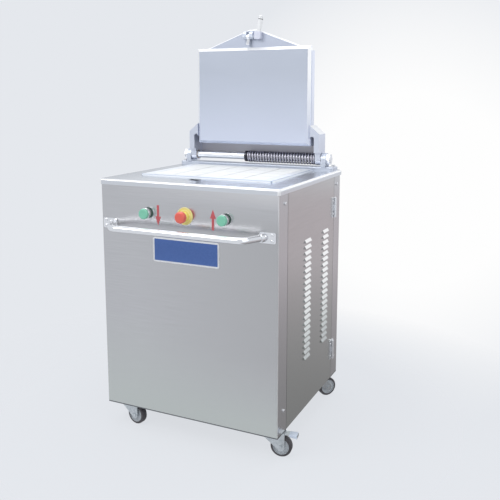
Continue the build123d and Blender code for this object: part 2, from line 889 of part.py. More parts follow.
# Hexagon bolts that hold the beam down, two at each end
bolt_end_x = (lug_outer + beam_half) / 2
bolt_places = [(s * bolt_end_x, beam_mid_y + t * beam_depth / 4) for s in SIDES for t in SIDES]
with BuildPart() as beam_bolts:
    with BuildSketch(level(beam_top)):
        with Locations(*bolt_places):
            RegularPolygon(beam_bolt_across / 2, 6, major_radius=False)
    extrude(amount=beam_bolt_height)
    chamfer(beam_bolts.faces().filter_by(Axis.Z).group_by(Axis.Z)[-1].edges(), beam_bolt_edge)
save(beam_bolts.part, "beam_bolts")

# Two lugs on the beam, with the shaft through them
with BuildPart() as hinge_lugs:
    for start_x in (-lug_outer, lug_inner):
        with BuildSketch(side_plane(start_x)):
            with Locations((hinge_y, hinge_z)):
                Circle(lug_radius)
            with Locations((hinge_y, beam_top + lug_foot / 2)):
                Rectangle(2 * (lug_radius + lug_flare), lug_foot)
            make_hull()
            with Locations((hinge_y, hinge_z)):
                Circle(shaft_radius + running_gap, mode=Mode.SUBTRACT)
        extrude(amount=lug_width)
save(hinge_lugs.part, "hinge_lugs")

with BuildPart() as hinge_shaft:
    shaft_half = lug_outer + nut_thickness + shaft_stub
    with BuildSketch(side_plane(-shaft_half)):
        with Locations((hinge_y, hinge_z)):
            Circle(shaft_radius)
    extrude(amount=2 * shaft_half)
    chamfer(hinge_shaft.edges(), shaft_edge)
save(hinge_shaft.part, "hinge_shaft")

# Nuts at the shaft's ends and the collar that anchors the spring
with BuildPart() as shaft_fittings:
    for start_x in (-lug_outer - nut_thickness, lug_outer):
        with BuildSketch(side_plane(start_x)):
            with Locations((hinge_y, hinge_z)):
                RegularPolygon(nut_across / 2, 6, major_radius=False)
                Circle(shaft_radius + running_gap, mode=Mode.SUBTRACT)
        extrude(amount=nut_thickness)
    with BuildSketch(side_plane(spring_left - spring_collar_width)):
        with Locations((hinge_y, hinge_z)):
            Circle(spring_collar_radius)
            Circle(shaft_radius + running_gap, mode=Mode.SUBTRACT)
    extrude(amount=spring_collar_width)
save(shaft_fittings.part, "shaft_fittings")

# Counterbalance spring: one wire from the collar to the lid's right ear, wound round the shaft
spring_right = ear_inner
along = Vector(1, 0, 0)
spring_slope = (lid_half_width - spring_left - 2 * (spring_wire + spring_bend)) / spring_turns


def spring_point(turn, start_x):
    """Place and direction of the wire's middle after a number of turns."""
    angle = 2 * pi * turn
    place = Vector(
        start_x + spring_slope * turn,
        hinge_y + spring_radius * cos(angle),
        hinge_z + spring_radius * sin(angle),
    )
    heading = Vector(spring_slope, -2 * pi * spring_radius * sin(angle), 2 * pi * spring_radius * cos(angle))
    return place, heading.normalized()


def biarc(first, first_heading, last, last_heading):
    """Two tangent arcs from one place and direction to another: their meeting point and its direction."""
    step = last - first
    both = first_heading + last_heading
    spread = 2 * (1 - first_heading.dot(last_heading))
    reach = ((step.dot(both) ** 2 + spread * step.dot(step)) ** 0.5 - step.dot(both)) / spread
    corner_in = first + first_heading * reach
    corner_out = last - last_heading * reach
    return (corner_in + corner_out) * 0.5, (corner_out - corner_in).normalized()


spring_start_x = spring_left + spring_wire + spring_bend
with BuildPart() as lid_spring:
    with BuildLine() as spring_path:
        first, first_heading = spring_point(0, spring_start_x)
        bend_in = spring_bend * tan(radians(along.get_angle(first_heading)) / 2)
        bend_start = first - (first_heading + along) * bend_in
        wire_start = Vector(spring_left, bend_start.Y, bend_start.Z)
        Line(wire_start, bend_start)
        TangentArc(bend_start, first, tangent=along)
        place, heading = first, first_heading
        for half in range(1, 2 * spring_turns + 1):
            next_place, next_heading = spring_point(half / 2, spring_start_x)
            middle, middle_heading = biarc(place, heading, next_place, next_heading)
            TangentArc(place, middle, tangent=heading)
            TangentArc(middle, next_place, tangent=middle_heading)
            place, heading = next_place, next_heading
        bend_end = place + (heading + along) * bend_in
        TangentArc(place, bend_end, tangent=heading)
        Line(bend_end, Vector(spring_right, bend_end.Y, bend_end.Z))
    with BuildSketch(Plane(origin=wire_start, z_dir=along)):
        Circle(spring_wire / 2)
    sweep()
save(lid_spring.part, "lid_spring")

# Least gap between one turn of the wire and another, measured on points along it
SAMPLES = 1200
wire_line = spring_path.wires()[0]
wire_points = [wire_line @ (i / SAMPLES) for i in range(SAMPLES + 1)]
apart = int(SAMPLES * pi * spring_radius / wire_line.length)
least = min(
    (wire_points[i] - wire_points[j]).length
    for i in range(SAMPLES + 1)
    for j in range(i + apart, min(SAMPLES + 1, i + 4 * apart))
)
print(f"lid_spring: least gap to itself {least - spring_wire:.2f} mm")
wire_volume = pi * spring_wire**2 / 4 * wire_line.length
print(f"lid_spring: volume over section times length {lid_spring.part.volume / wire_volume:.4f}")

# Lid: a plate with a nose, a rim and ribs behind it, a web behind the spring and two ears
ear_front_y = press_face_y + press_inset
with BuildPart() as lid_frame:
    for start_x in (-ear_outer, lid_half_width):
        with BuildSketch(side_plane(start_x)):
            with Locations((hinge_y, hinge_z)):
                Circle(ear_radius)
            with BuildLine():
                Polyline(
                    (hinge_y - ear_radius, hinge_z),
                    (hinge_y - ear_radius, hinge_z + ear_front_low),
                    (ear_front_y, hinge_z + ear_front_low),
                    (ear_front_y, hinge_z + ear_shoulder),
                    (ear_back_y, hinge_z + ear_shoulder),
                    (ear_back_y, hinge_z),
                    close=True,
                )
            make_face()
        extrude(amount=ear_slot + ear_width)
    with BuildSketch(front_plane(ear_back_y)):
        for sx in SIDES:
            with BuildLine():
                Polyline(
                    (sx * ear_outer, hinge_z + ear_straight),
                    (sx * ear_outer, hinge_z + ear_shoulder),
                    (sx * lid_half_width, hinge_z + ear_shoulder),
                    close=True,
                )
            make_face()
            with Locations((sx * (lid_half_width + ear_slot / 2), hinge_z)):
                Rectangle(ear_slot, 2 * (ear_slot_high - ear_slot / 2))
            with Locations((sx * (lid_half_width + ear_slot / 2), hinge_z + ear_slot_high - ear_slot / 2)):
                Circle(ear_slot / 2)
    extrude(amount=ear_back_y - ear_front_y, mode=Mode.SUBTRACT)
    with BuildSketch(front_plane(lid_plate_back_y)):
        with BuildLine():
            Polyline(
                (-lid_half_width, hinge_z + lid_low),
                (lid_half_width, hinge_z + lid_low),
                (lid_half_width, hinge_z + nose_low),
                (nose_half_width, hinge_z + nose_high),
                (-nose_half_width, hinge_z + nose_high),
                (-lid_half_width, hinge_z + nose_low),
                close=True,
            )
        make_face()
    extrude(amount=lid_plate_thickness)
    nose_face = lid_frame.faces().filter_by(Axis.Y).filter_by_position(Axis.Y, press_back_y, press_back_y)[0]
    nose_edges = nose_face.edges().filter_by_position(Axis.Z, hinge_z + nose_low, hinge_z + nose_high + 1)
    chamfer(nose_edges, nose_chamfer, nose_chamfer_depth, reference=nose_face)
    rim_middle = hinge_z + (lid_low + nose_low) / 2
    with BuildSketch(front_plane(lid_back_y)):
        with Locations((0, rim_middle)):
            Rectangle(2 * lid_half_width, nose_low - lid_low)
            Rectangle(2 * (lid_half_width - lid_wall), nose_low - lid_low - 2 * lid_wall, mode=Mode.SUBTRACT)
    extrude(amount=lid_back_y - lid_plate_back_y)
    with BuildSketch(front_plane(lid_plate_back_y + lid_rib_depth)):
        with Locations((0, rim_middle)):
            Rectangle(lid_rib, nose_low - lid_low)
            Rectangle(2 * lid_half_width, lid_rib)
    extrude(amount=lid_rib_depth)
    with BuildSketch(front_plane(ear_back_y)):
        with Locations((0, hinge_z + (ear_slot_high - lid_web_drop) / 2)):
            Rectangle(2 * ear_inner, ear_slot_high + lid_web_drop)
    extrude(amount=lid_web)
    with BuildSketch(front_plane(ear_back_y)):
        with Locations((0, hinge_z + lid_low + lid_wall / 2)):
            Rectangle(2 * lid_half_width, lid_wall)
    extrude(amount=ear_back_y - lid_plate_back_y)
    with BuildSketch(side_plane(-ear_outer)):
        with Locations((hinge_y, hinge_z)):
            Circle(bush_radius + running_gap)
    extrude(amount=2 * ear_outer, mode=Mode.SUBTRACT)
save(lid_frame.part, "lid_frame")

# Bronze bushes in the ears
with BuildPart() as ear_bushes:
    for start_x in (-ear_outer, ear_inner):
        with BuildSketch(side_plane(start_x)):
            with Locations((hinge_y, hinge_z)):
                Circle(bush_radius)
                Circle(shaft_radius + running_gap, mode=Mode.SUBTRACT)
        extrude(amount=ear_width)
save(ear_bushes.part, "ear_bushes")

# Press plate on the front of the lid, with its chamfered edge towards the dough
with BuildPart() as lid_press_plate:
    with BuildSketch(front_plane(press_back_y)):
        with Locations((0, hinge_z + (press_low + press_high) / 2)):
            Rectangle(2 * press_half_width, press_high - press_low)
    extrude(amount=press_thickness)
    press_face = lid_press_plate.faces().sort_by(Axis.Y)[0]
    chamfer(press_face.edges(), press_chamfer, press_chamfer_depth, reference=press_face)
save(lid_press_plate.part, "lid_press_plate")

# Screw heads behind the lid that hold the press plate
press_mid_z = hinge_z + (press_low + press_high) / 2
press_screw_x = 2 * (lid_half_width - press_screw_side_inset)
press_screw_z = press_high - press_low - 2 * press_screw_end_inset
with BuildPart() as press_plate_screws:
    with BuildSketch(front_plane(lid_plate_back_y + press_screw_height)):
        with Locations((0, press_mid_z)):
            with GridLocations(press_screw_x, press_screw_z, 2, 2):
                Circle(press_screw_radius)
                RegularPolygon(press_screw_radius / 2, 6, mode=Mode.SUBTRACT)
    extrude(amount=press_screw_height)
    with BuildSketch(front_plane(lid_plate_back_y + press_screw_height / 2)):
        with Locations((0, press_mid_z)):
            with GridLocations(press_screw_x, press_screw_z, 2, 2):
                Circle(press_screw_radius - press_screw_wall)
    extrude(amount=press_screw_height / 2)
save(press_plate_screws.part, "press_plate_screws")

# Clevis on the nose: two lugs and the pin that the hook swings on
lug_start = latch_hook_width / 2 + latch_side_gap
pin_half = lug_start + latch_lug_width
with BuildPart() as latch_clevis:
    for start_x in (latch_x - pin_half, latch_x + lug_start):
        with BuildSketch(side_plane(start_x)):
            with Locations((latch_y, latch_z), (latch_y, latch_z + latch_lug_tall)):
                Circle(latch_lug_radius)
            with Locations((press_back_y - latch_lug_foot / 2, latch_z + latch_lug_tall / 2)):
                Rectangle(latch_lug_foot, latch_lug_tall + 2 * latch_lug_radius)
            make_hull()
        extrude(amount=latch_lug_width)
    with BuildSketch(side_plane(latch_x - pin_half)):
        with Locations((latch_y, latch_z)):
            Circle(latch_pin_radius)
    extrude(amount=2 * pin_half)
    for start_x in (latch_x - pin_half - latch_pin_head_height, latch_x + pin_half):
        with BuildSketch(side_plane(start_x)):
            with Locations((latch_y, latch_z)):
                Circle(latch_pin_head)
        extrude(amount=latch_pin_head_height)
save(latch_clevis.part, "latch_clevis")

# Latch hook, hanging along the lid with its barb to the front
with BuildPart() as latch_hook:
    with BuildSketch(side_plane(latch_x - latch_hook_width / 2)):
        with Locations((latch_y, latch_z)):
            Circle(latch_lug_radius)
        with BuildLine():
            Polyline(
                (latch_y + latch_arm, latch_z),
                (latch_y + latch_arm, latch_z - latch_reach),
                (latch_y - latch_arm, latch_z - latch_reach),
                (latch_y - latch_arm - latch_barb, latch_z - latch_reach + latch_barb_height / 2),
                (latch_y - latch_arm - latch_barb, latch_z - latch_reach + latch_barb_height),
                (latch_y - latch_arm, latch_z - latch_reach + latch_barb_height),
                (latch_y - latch_arm, latch_z),
                close=True,
            )
        make_face()
        with Locations((latch_y, latch_z)):
            Circle(latch_pin_radius + running_gap, mode=Mode.SUBTRACT)
    extrude(amount=latch_hook_width)
save(latch_hook.part, "latch_hook")

# Handle on the nose that lifts the lid: a block, a round grip that leans to the right and its end cap
grip_foot = Vector(grip_x, press_back_y - grip_block_depth / 2, latch_z)
grip_way = Vector(grip_lean, 0, grip_high - latch_radius_out)
with BuildPart() as lid_handle:
    with Locations((grip_foot.X, grip_foot.Y, latch_z + grip_block_rise)):
        Box(grip_block_width, grip_block_depth, grip_block_height)
    fillet(lid_handle.edges().filter_by(Axis.Y), grip_block_edge)
    with BuildSketch(Plane(origin=grip_foot, z_dir=grip_way)):
        Circle(grip_radius)
    extrude(amount=grip_way.length)
    with BuildSketch(Plane(origin=grip_foot + grip_way, z_dir=-grip_way)):
        Circle(grip_cap_radius)
    extrude(amount=grip_cap_length)
    fillet(lid_handle.faces().sort_by(Axis.Z)[-1].edges(), grip_edge)
save(lid_handle.part, "lid_handle")

# Twenty blocks that form the floor of the pot
with BuildPart() as press_blocks:
    with BuildSketch(level(block_bottom)):
        with Locations((0, bed_y)):
            with GridLocations(column_pitch, row_pitch, bed_columns, bed_rows):
                Rectangle(block_width, block_depth)
    extrude(amount=block_height)
    chamfer(press_blocks.faces().filter_by(Axis.Z).group_by(Axis.Z)[-1].edges(), block_edge)
save(press_blocks.part, "press_blocks")

# Carrier of the blocks: a plate with one post under each block, guided on the columns
with BuildPart() as block_carrier:
    with BuildSketch(level(carrier_bottom)):
        with Locations((0, bed_y)):
            Rectangle(carrier_x, carrier_y)
            with GridLocations(2 * column_x, 2 * column_y, 2, 2):
                Circle(column_radius + running_gap, mode=Mode.SUBTRACT)
            with GridLocations((bed_columns - 2) * column_pitch, (bed_rows - 2) * row_pitch, 2, 2):
                Circle(knife_stay_radius + loose_gap, mode=Mode.SUBTRACT)
    extrude(amount=carrier_thickness)
    with BuildSketch(level(carrier_top)):
        with Locations((0, bed_y)):
            with GridLocations(column_pitch, row_pitch, bed_columns, bed_rows):
                Circle(post_radius)
    extrude(amount=block_bottom - carrier_top)
save(block_carrier.part, "block_carrier")

# Rod of the press cylinder with its piston
with BuildPart() as press_rod:
    piston_top = press_barrel_top - gland_length - carrier_space
    with Locations((0, bed_y, piston_top - piston_length)):
        Cylinder(press_barrel_radius - press_barrel_wall - running_gap, piston_length, align=LOW)
        Cylinder(press_rod_radius, carrier_bottom - piston_top + piston_length, align=LOW)
save(press_rod.part, "press_rod")

# Knives: blades across and along the bed, crossing in one welded grid
with BuildPart() as knife_grid:
    with BuildSketch(level(knife_bottom)):
        with Locations((0, bed_y)):
            with GridLocations(column_pitch, 1, bed_columns - 1, 1):
                Rectangle(knife_thickness, bed_depth)
            with GridLocations(1, row_pitch, 1, bed_rows - 1):
                Rectangle(bed_width, knife_thickness)
    extrude(amount=knife_height)
save(knife_grid.part, "knife_grid")

# Carrier of the knives: a plate guided on the columns, with four stays up to the grid
with BuildPart() as knife_carrier:
    with BuildSketch(level(knife_plate_bottom)):
        with Locations((0, bed_y)):
            Rectangle(carrier_x, carrier_y)
            Circle(press_barrel_radius + loose_gap, mode=Mode.SUBTRACT)
            with GridLocations(2 * column_x, 2 * column_y, 2, 2):
                Circle(column_radius + running_gap, mode=Mode.SUBTRACT)
    extrude(amount=carrier_thickness)
    with BuildSketch(level(knife_plate_top)):
        with Locations((0, bed_y)):
            with GridLocations((bed_columns - 2) * column_pitch, (bed_rows - 2) * row_pitch, 2, 2):
                Circle(knife_stay_radius)
    extrude(amount=knife_bottom - knife_plate_top)
save(knife_carrier.part, "knife_carrier")

# Rods of the two knife cylinders with their pistons
with BuildPart() as knife_rods:
    knife_piston_top = knife_barrel_top - gland_length - carrier_space
    with Locations(*[(s * knife_barrel_x, bed_y, knife_piston_top - piston_length) for s in SIDES]):
        Cylinder(knife_barrel_radius - knife_barrel_wall - running_gap, piston_length, align=LOW)
        Cylinder(knife_rod_radius, knife_plate_bottom - knife_piston_top + piston_length, align=LOW)
save(knife_rods.part, "knife_rods")


def side_door(name, side):
    """A pan door with two columns of hooded louvres, pressed outwards."""
    pan = sheet + door_return
    length = door_rear_y - door_front_y
    height = door_high_z - door_low_z
    middle = ((door_rear_y + door_front_y) / 2, (door_high_z + door_low_z) / 2)
    hood = [
        (0, louvre_height),
        (side * louvre_depth, louvre_skin),
        (side * louvre_depth, 0),
        (0, 0),
    ]
    mouth = [
        (-side * sheet, louvre_height - 2 * louvre_skin),
        (0, louvre_height - 2 * louvre_skin),
        (side * (louvre_depth - louvre_skin), 0),
        (-side * sheet, 0),
    ]
    louvre_middle = louvre_low + louvre_pitch * (louvre_count - 1) / 2
    with BuildPart() as door:
        with Locations((side * (half_width - pan / 2), *middle)):
            Box(pan, length, height)
        with Locations((side * (inner_x - door_return / 2), *middle)):
            Box(door_return, length - 2 * sheet, height - 2 * sheet, mode=Mode.SUBTRACT)
        for outline, shorter, mode in ((hood, 0, Mode.ADD), (mouth, louvre_skin, Mode.SUBTRACT)):
            for column_middle in (louvre_front_y, louvre_rear_y):
                with BuildSketch(front_plane(column_middle + louvre_length / 2 - shorter)):
                    with Locations((side * half_width, louvre_middle)):
                        with GridLocations(1, louvre_pitch, 1, louvre_count):
                            Polygon(*outline)
                extrude(amount=louvre_length - 2 * shorter, mode=mode)
    save(door.part, name)


side_door("right_door", 1)
side_door("left_door", -1)

hinge_heights = (hinge_low_z, hinge_high_z)
knuckle_length = hinge_length / 3


def door_leaf(side, toward, height, own_knuckles):
    """One leaf of a butt hinge, added to the piece being built: a plate, its arms and its knuckles."""
    x_mid = side * (half_width + hinge_leaf_thickness / 2)
    plate_start = knuckle_radius + leaf_gap
    with Locations((x_mid, door_axis_y + toward * (plate_start + hinge_leaf) / 2, height)):
        Box(hinge_leaf_thickness, hinge_leaf - plate_start, hinge_length)
    for index in own_knuckles:
        z = height + (index - 1) * knuckle_length
        with Locations((x_mid, door_axis_y + toward * plate_start / 2, z)):
            Box(hinge_leaf_thickness, plate_start, knuckle_length - knuckle_gap)
        with Locations((side * door_axis_x, door_axis_y, z)):
            Cylinder(knuckle_radius, knuckle_length - knuckle_gap)
            Cylinder(knuckle_pin_radius + running_gap, knuckle_length, mode=Mode.SUBTRACT)


# Hinge leaves on the rear panel's wraps, two on each side
with BuildPart() as frame_hinge_leaves:
    for side in SIDES:
        for height in hinge_heights:
            door_leaf(side, 1, height, (0, 2))
save(frame_hinge_leaves.part, "frame_hinge_leaves")

# Hinge leaves on the right door
with BuildPart() as right_door_leaves:
    for height in hinge_heights:
        door_leaf(1, -1, height, (1,))
save(right_door_leaves.part, "right_door_leaves")

# Hinge leaves on the left door
with BuildPart() as left_door_leaves:
    for height in hinge_heights:
        door_leaf(-1, -1, height, (1,))
save(left_door_leaves.part, "left_door_leaves")

# Hinge pins, one through each pair of leaves
with BuildPart() as hinge_pins:
    for side in SIDES:
        for height in hinge_heights:
            with Locations((side * door_axis_x, door_axis_y, height)):
                Cylinder(knuckle_pin_radius, hinge_length)
save(hinge_pins.part, "hinge_pins")

# Castor top plates under the base plate, each with its upper race and kingpin
with BuildPart() as castor_plates:
    for sx in SIDES:
        for stem_y in (castor_front_y, castor_rear_y):
            with Locations((sx * castor_x, stem_y, base_height)):
                Box(castor_plate_x, castor_plate_y, castor_plate_thickness, align=HIGH)
                Cylinder(race_radius, castor_plate_thickness + upper_race, align=HIGH)
                Cylinder(kingpin_radius, base_height - fork_crown_low + race_gap, align=HIGH)
            with Locations((sx * castor_x, stem_y, fork_crown_low - race_gap)):
                Cylinder(kingpin_head_radius, kingpin_head, align=HIGH)
save(castor_plates.part, "castor_plates")

fork_inner = wheel_width / 2 + fork_gap
fork_outer = fork_inner + fork_wall
race_top = base_height - castor_plate_thickness - upper_race - race_gap
fork_top = fork_crown_low + fork_crown


def castor(name, sx, stem_y, heading, braked):
    """A fork with its axle, a wheel and, where it is braked, a pedal. The wheel trails along the heading."""
    turn = radians(heading)
    stem = (sx * castor_x, stem_y, 0)
    side = Plane(origin=stem, x_dir=(cos(turn), sin(turn), 0), z_dir=(sin(turn), -cos(turn), 0))
    axle = (castor_trail, axle_z)
    pedal = (pedal_u, pedal_z)

    with BuildPart() as fork:
        with BuildSketch(side.offset(-fork_outer)):
            with Locations(axle):
                Circle(fork_boss)
            with Locations((0, fork_top - fork_crown)):
                Rectangle(2 * fork_half_length, 2 * fork_crown)
            if braked:
                with Locations(pedal):
                    Circle(pedal_ear_radius)
            make_hull()
        extrude(amount=2 * fork_outer)
        with BuildSketch(side.offset(-fork_inner)):
            with Locations((0, fork_crown_low)):
                Rectangle(4 * pedal_reach, 2 * fork_crown_low, align=(Align.CENTER, Align.MAX))
            with Locations((fork_half_length + fork_mouth, 0)):
                Rectangle(pedal_reach, 2 * (pedal_z + pedal_ear_radius), align=(Align.MIN, Align.CENTER))
        extrude(amount=2 * fork_inner, mode=Mode.SUBTRACT)
        with Locations((stem[0], stem[1], fork_top)):
            Cylinder(race_radius, race_top - fork_top, align=LOW)
        with Locations((stem[0], stem[1], fork_crown_low)):
            Cylinder(kingpin_radius + running_gap, race_top - fork_crown_low, align=LOW, mode=Mode.SUBTRACT)
        with BuildSketch(side.offset(-fork_outer)):
            with Locations(axle):
                Circle(axle_radius + running_gap)
            if braked:
                with Locations(pedal):
                    Circle(pedal_pin_radius + running_gap)
        extrude(amount=2 * fork_outer, mode=Mode.SUBTRACT)
        axle_half = fork_outer + 2 * running_gap + axle_nut
        with BuildSketch(side.offset(-axle_half)):
            with Locations(axle):
                Circle(axle_radius)
        extrude(amount=2 * axle_half)
        for nut_start in (-axle_half, fork_outer + 2 * running_gap):
            with BuildSketch(side.offset(nut_start)):
                with Locations(axle):
                    RegularPolygon(axle_nut_across / 2, 6, major_radius=False)
            extrude(amount=axle_nut)
        if braked:
            with BuildSketch(side.offset(-fork_outer)):
                with Locations(pedal):
                    Circle(pedal_pin_radius)
            extrude(amount=2 * fork_outer)
    save(fork.part, f"castor_fork_{name}")

    with BuildPart() as wheel:
        with BuildSketch(side.offset(-wheel_width / 2)):
            with Locations(axle):
                Circle(wheel_radius)
        extrude(amount=wheel_width)
        fillet(wheel.edges(), wheel_edge)
        for recess_start in (-wheel_width / 2, wheel_width / 2 - wheel_recess):
            with BuildSketch(side.offset(recess_start)):
                with Locations(axle):
                    Circle(wheel_radius - wheel_rim)
                    Circle(wheel_boss, mode=Mode.SUBTRACT)
            extrude(amount=wheel_recess, mode=Mode.SUBTRACT)
        with BuildSketch(side.offset(-wheel_width / 2)):
            with Locations(axle):
                Circle(axle_radius + running_gap)
        extrude(amount=wheel_width, mode=Mode.SUBTRACT)
    save(wheel.part, f"castor_wheel_{name}")

    if braked:
        tab_top = pedal_z + pedal_barrel_radius
        tab_low = tab_top - pedal_thickness
        barrel_half = fork_inner - pedal_side_gap
        with BuildPart() as brake:
            with BuildSketch(side.offset(-barrel_half)):
                with Locations(pedal):
                    Circle(pedal_barrel_radius)
                with BuildLine():
                    Polyline(
                        (pedal_u, tab_top),
                        (pedal_reach, tab_top),
                        (pedal_reach, tab_top - pedal_lip),
                        (pedal_reach - pedal_thickness, tab_top - pedal_lip),
                        (pedal_reach - pedal_thickness, tab_low),
                        (pedal_u, tab_low),
                        close=True,
                    )
                make_face()
                with Locations(pedal):
                    Circle(pedal_pin_radius + running_gap, mode=Mode.SUBTRACT)
            extrude(amount=2 * barrel_half)
        save(brake.part, f"castor_brake_{name}")


castor("front_left", -1, castor_front_y, -8, True)
castor("front_right", 1, castor_front_y, 8, True)
castor("rear_left", -1, castor_rear_y, 20, False)
castor("rear_right", 1, castor_rear_y, 50, False)
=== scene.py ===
import json
from math import atan2, cos, pi, radians, sin, sqrt

import bpy
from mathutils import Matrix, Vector

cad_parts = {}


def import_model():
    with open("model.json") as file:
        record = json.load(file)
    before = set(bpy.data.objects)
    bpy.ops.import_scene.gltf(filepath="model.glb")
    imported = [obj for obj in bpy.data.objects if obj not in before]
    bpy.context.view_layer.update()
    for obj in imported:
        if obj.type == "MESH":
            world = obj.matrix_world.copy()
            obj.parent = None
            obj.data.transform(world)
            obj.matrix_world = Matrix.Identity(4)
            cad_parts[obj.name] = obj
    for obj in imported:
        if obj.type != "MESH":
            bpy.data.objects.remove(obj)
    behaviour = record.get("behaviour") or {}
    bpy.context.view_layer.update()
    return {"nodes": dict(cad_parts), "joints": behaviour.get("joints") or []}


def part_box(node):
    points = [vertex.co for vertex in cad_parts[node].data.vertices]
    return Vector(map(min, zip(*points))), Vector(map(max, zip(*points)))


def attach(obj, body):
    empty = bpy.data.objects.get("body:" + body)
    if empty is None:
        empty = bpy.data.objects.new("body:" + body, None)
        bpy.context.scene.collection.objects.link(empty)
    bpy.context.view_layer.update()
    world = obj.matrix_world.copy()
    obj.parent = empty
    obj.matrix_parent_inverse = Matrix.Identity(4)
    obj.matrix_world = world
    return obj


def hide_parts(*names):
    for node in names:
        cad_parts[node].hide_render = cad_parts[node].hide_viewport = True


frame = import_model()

# The dough divider's looks, in metres, in the frame of the CAD model: floor at z = 0, front at -Y.
MM = 0.001
NODES = frame["nodes"]
JOINTS = {joint["child"]: joint for joint in frame["joints"]}
CASTORS = ("front_left", "front_right", "rear_left", "rear_right")
BRAKED_CASTORS = CASTORS[:2]


def linear(level):
    """One channel of a colour, from the screen's curve (sRGB), 0 to 255, to the value that shaders take."""
    share = level / 255
    return share / 12.92 if share <= 0.04045 else ((share + 0.055) / 1.055) ** 2.4


def paint(red, green, blue):
    """An opaque colour, written as on screen."""
    return linear(red), linear(green), linear(blue), 1.0


# Camera, at the photograph's viewing angle
CAMERA_PLACE = Vector((1137.8, -2228.1, 1212.9)) * MM
CAMERA_TURN = 25.1
CAMERA_PITCH = -9.0
CAMERA_SHIFT_Y = -0.098
FOCAL_PIXELS, PHOTO_PIXELS = 673.9, 500
SENSOR_WIDTH = 36

camera_data = bpy.data.cameras.new("camera")
camera_data.sensor_width = SENSOR_WIDTH
camera_data.lens = FOCAL_PIXELS / PHOTO_PIXELS * SENSOR_WIDTH
camera_data.shift_y = CAMERA_SHIFT_Y
camera = bpy.data.objects.new("camera", camera_data)
camera.location = CAMERA_PLACE
camera.rotation_euler = (radians(90 + CAMERA_PITCH), 0, radians(CAMERA_TURN))
bpy.context.scene.collection.objects.link(camera)
bpy.context.scene.camera = camera
bpy.context.scene.view_settings.view_transform = "Standard"

# Shader helpers. A tree is a material's, a group's or the world's.
NOISE_LOW, NOISE_HIGH = 0.3, 0.7
RELIEF_DEPTH = 0.2 * MM


def spread(tree, value, low, high, start=NOISE_LOW, end=NOISE_HIGH):
    """A value between start and end, by default a noise's usual span, turned into one between low and high."""
    ranged = tree.nodes.new("ShaderNodeMapRange")
    ranged.inputs["From Min"].default_value = start
    ranged.inputs["From Max"].default_value = end
    ranged.inputs["To Min"].default_value = low
    ranged.inputs["To Max"].default_value = high
    tree.links.new(value, ranged.inputs["Value"])
    return ranged.outputs["Result"]


def combine(tree, operation, *values):
    """Values taken together, one after the other, by a Math operation."""
    result = values[0]
    for value in values[1:]:
        node = tree.nodes.new("ShaderNodeMath")
        node.operation = operation
        tree.links.new(result, node.inputs[0])
        tree.links.new(value, node.inputs[1])
        result = node.outputs["Value"]
    return result


def between(tree, factor, low, high):
    """A colour between two others along a factor."""
    mix = tree.nodes.new("ShaderNodeMix")
    mix.data_type = "RGBA"
    mix.inputs["A"].default_value = low
    mix.inputs["B"].default_value = high
    tree.links.new(factor, mix.inputs["Factor"])
    return mix.outputs["Result"]


def lay_over(tree, below, colour, mask):
    """A colour laid over what is there already, where a mask is full."""
    mix = tree.nodes.new("ShaderNodeMix")
    mix.data_type = "RGBA"
    mix.inputs["B"].default_value = colour
    tree.links.new(below, mix.inputs["A"])
    tree.links.new(mask, mix.inputs["Factor"])
    return mix.outputs["Result"]


def coordinates(tree):
    """A point's X, Y and Z in the piece's own coordinates."""
    place = tree.nodes.new("ShaderNodeTexCoord")
    parts = tree.nodes.new("ShaderNodeSeparateXYZ")
    tree.links.new(place.outputs["Object"], parts.inputs[0])
    return parts.outputs


def distance_from(tree, centre=(0, 0, 0)):
    """How far a point lies from a centre, both in the piece's own coordinates."""
    place = tree.nodes.new("ShaderNodeTexCoord")
    away = tree.nodes.new("ShaderNodeVectorMath")
    away.operation = "DISTANCE"
    away.inputs[1].default_value = centre
    tree.links.new(place.outputs["Object"], away.inputs[0])
    return away.outputs["Value"]


def add_relief(tree, shader, height, strength, depth=RELIEF_DEPTH):
    """Gives a shader a bump from a height."""
    relief = tree.nodes.new("ShaderNodeBump")
    relief.inputs["Strength"].default_value = strength
    relief.inputs["Distance"].default_value = depth
    tree.links.new(height, relief.inputs["Height"])
    tree.links.new(relief.outputs["Normal"], shader.inputs["Normal"])


# Shader groups that several finishes share
GRAIN_DETAIL, GRAIN_ROUGHNESS = 3, 0.55
EDGE_MASK_DETAIL, EDGE_MASK_FINENESS, EDGE_MASK_SAMPLES = 4, 60.0, 4
# Cosines between a face and its rounded edge where the edge mask, for wear and for painted shade, starts and
# is full
EDGE_MASK_START, EDGE_MASK_FULL = 0.995, 0.80
# Largest part of a normal along an axis where a bevel starts and is full, and the same for its upward part:
# bevels that face down get no painted light, as they lie in shade
BEVEL_START, BEVEL_FULL = 0.99, 0.95
BEVEL_UP_START, BEVEL_UP_FULL = -0.4, -0.1


def new_group(name, inputs, outputs):
    """An empty shader group with named sockets, and its input and output nodes."""
    group = bpy.data.node_groups.new(name, "ShaderNodeTree")
    for socket, kind, value in inputs:
        made = group.interface.new_socket(socket, in_out="INPUT", socket_type=kind)
        made.default_value = value
    for socket in outputs:
        group.interface.new_socket(socket, in_out="OUTPUT", socket_type="NodeSocketFloat")
    return group, group.nodes.new("NodeGroupInput"), group.nodes.new("NodeGroupOutput")


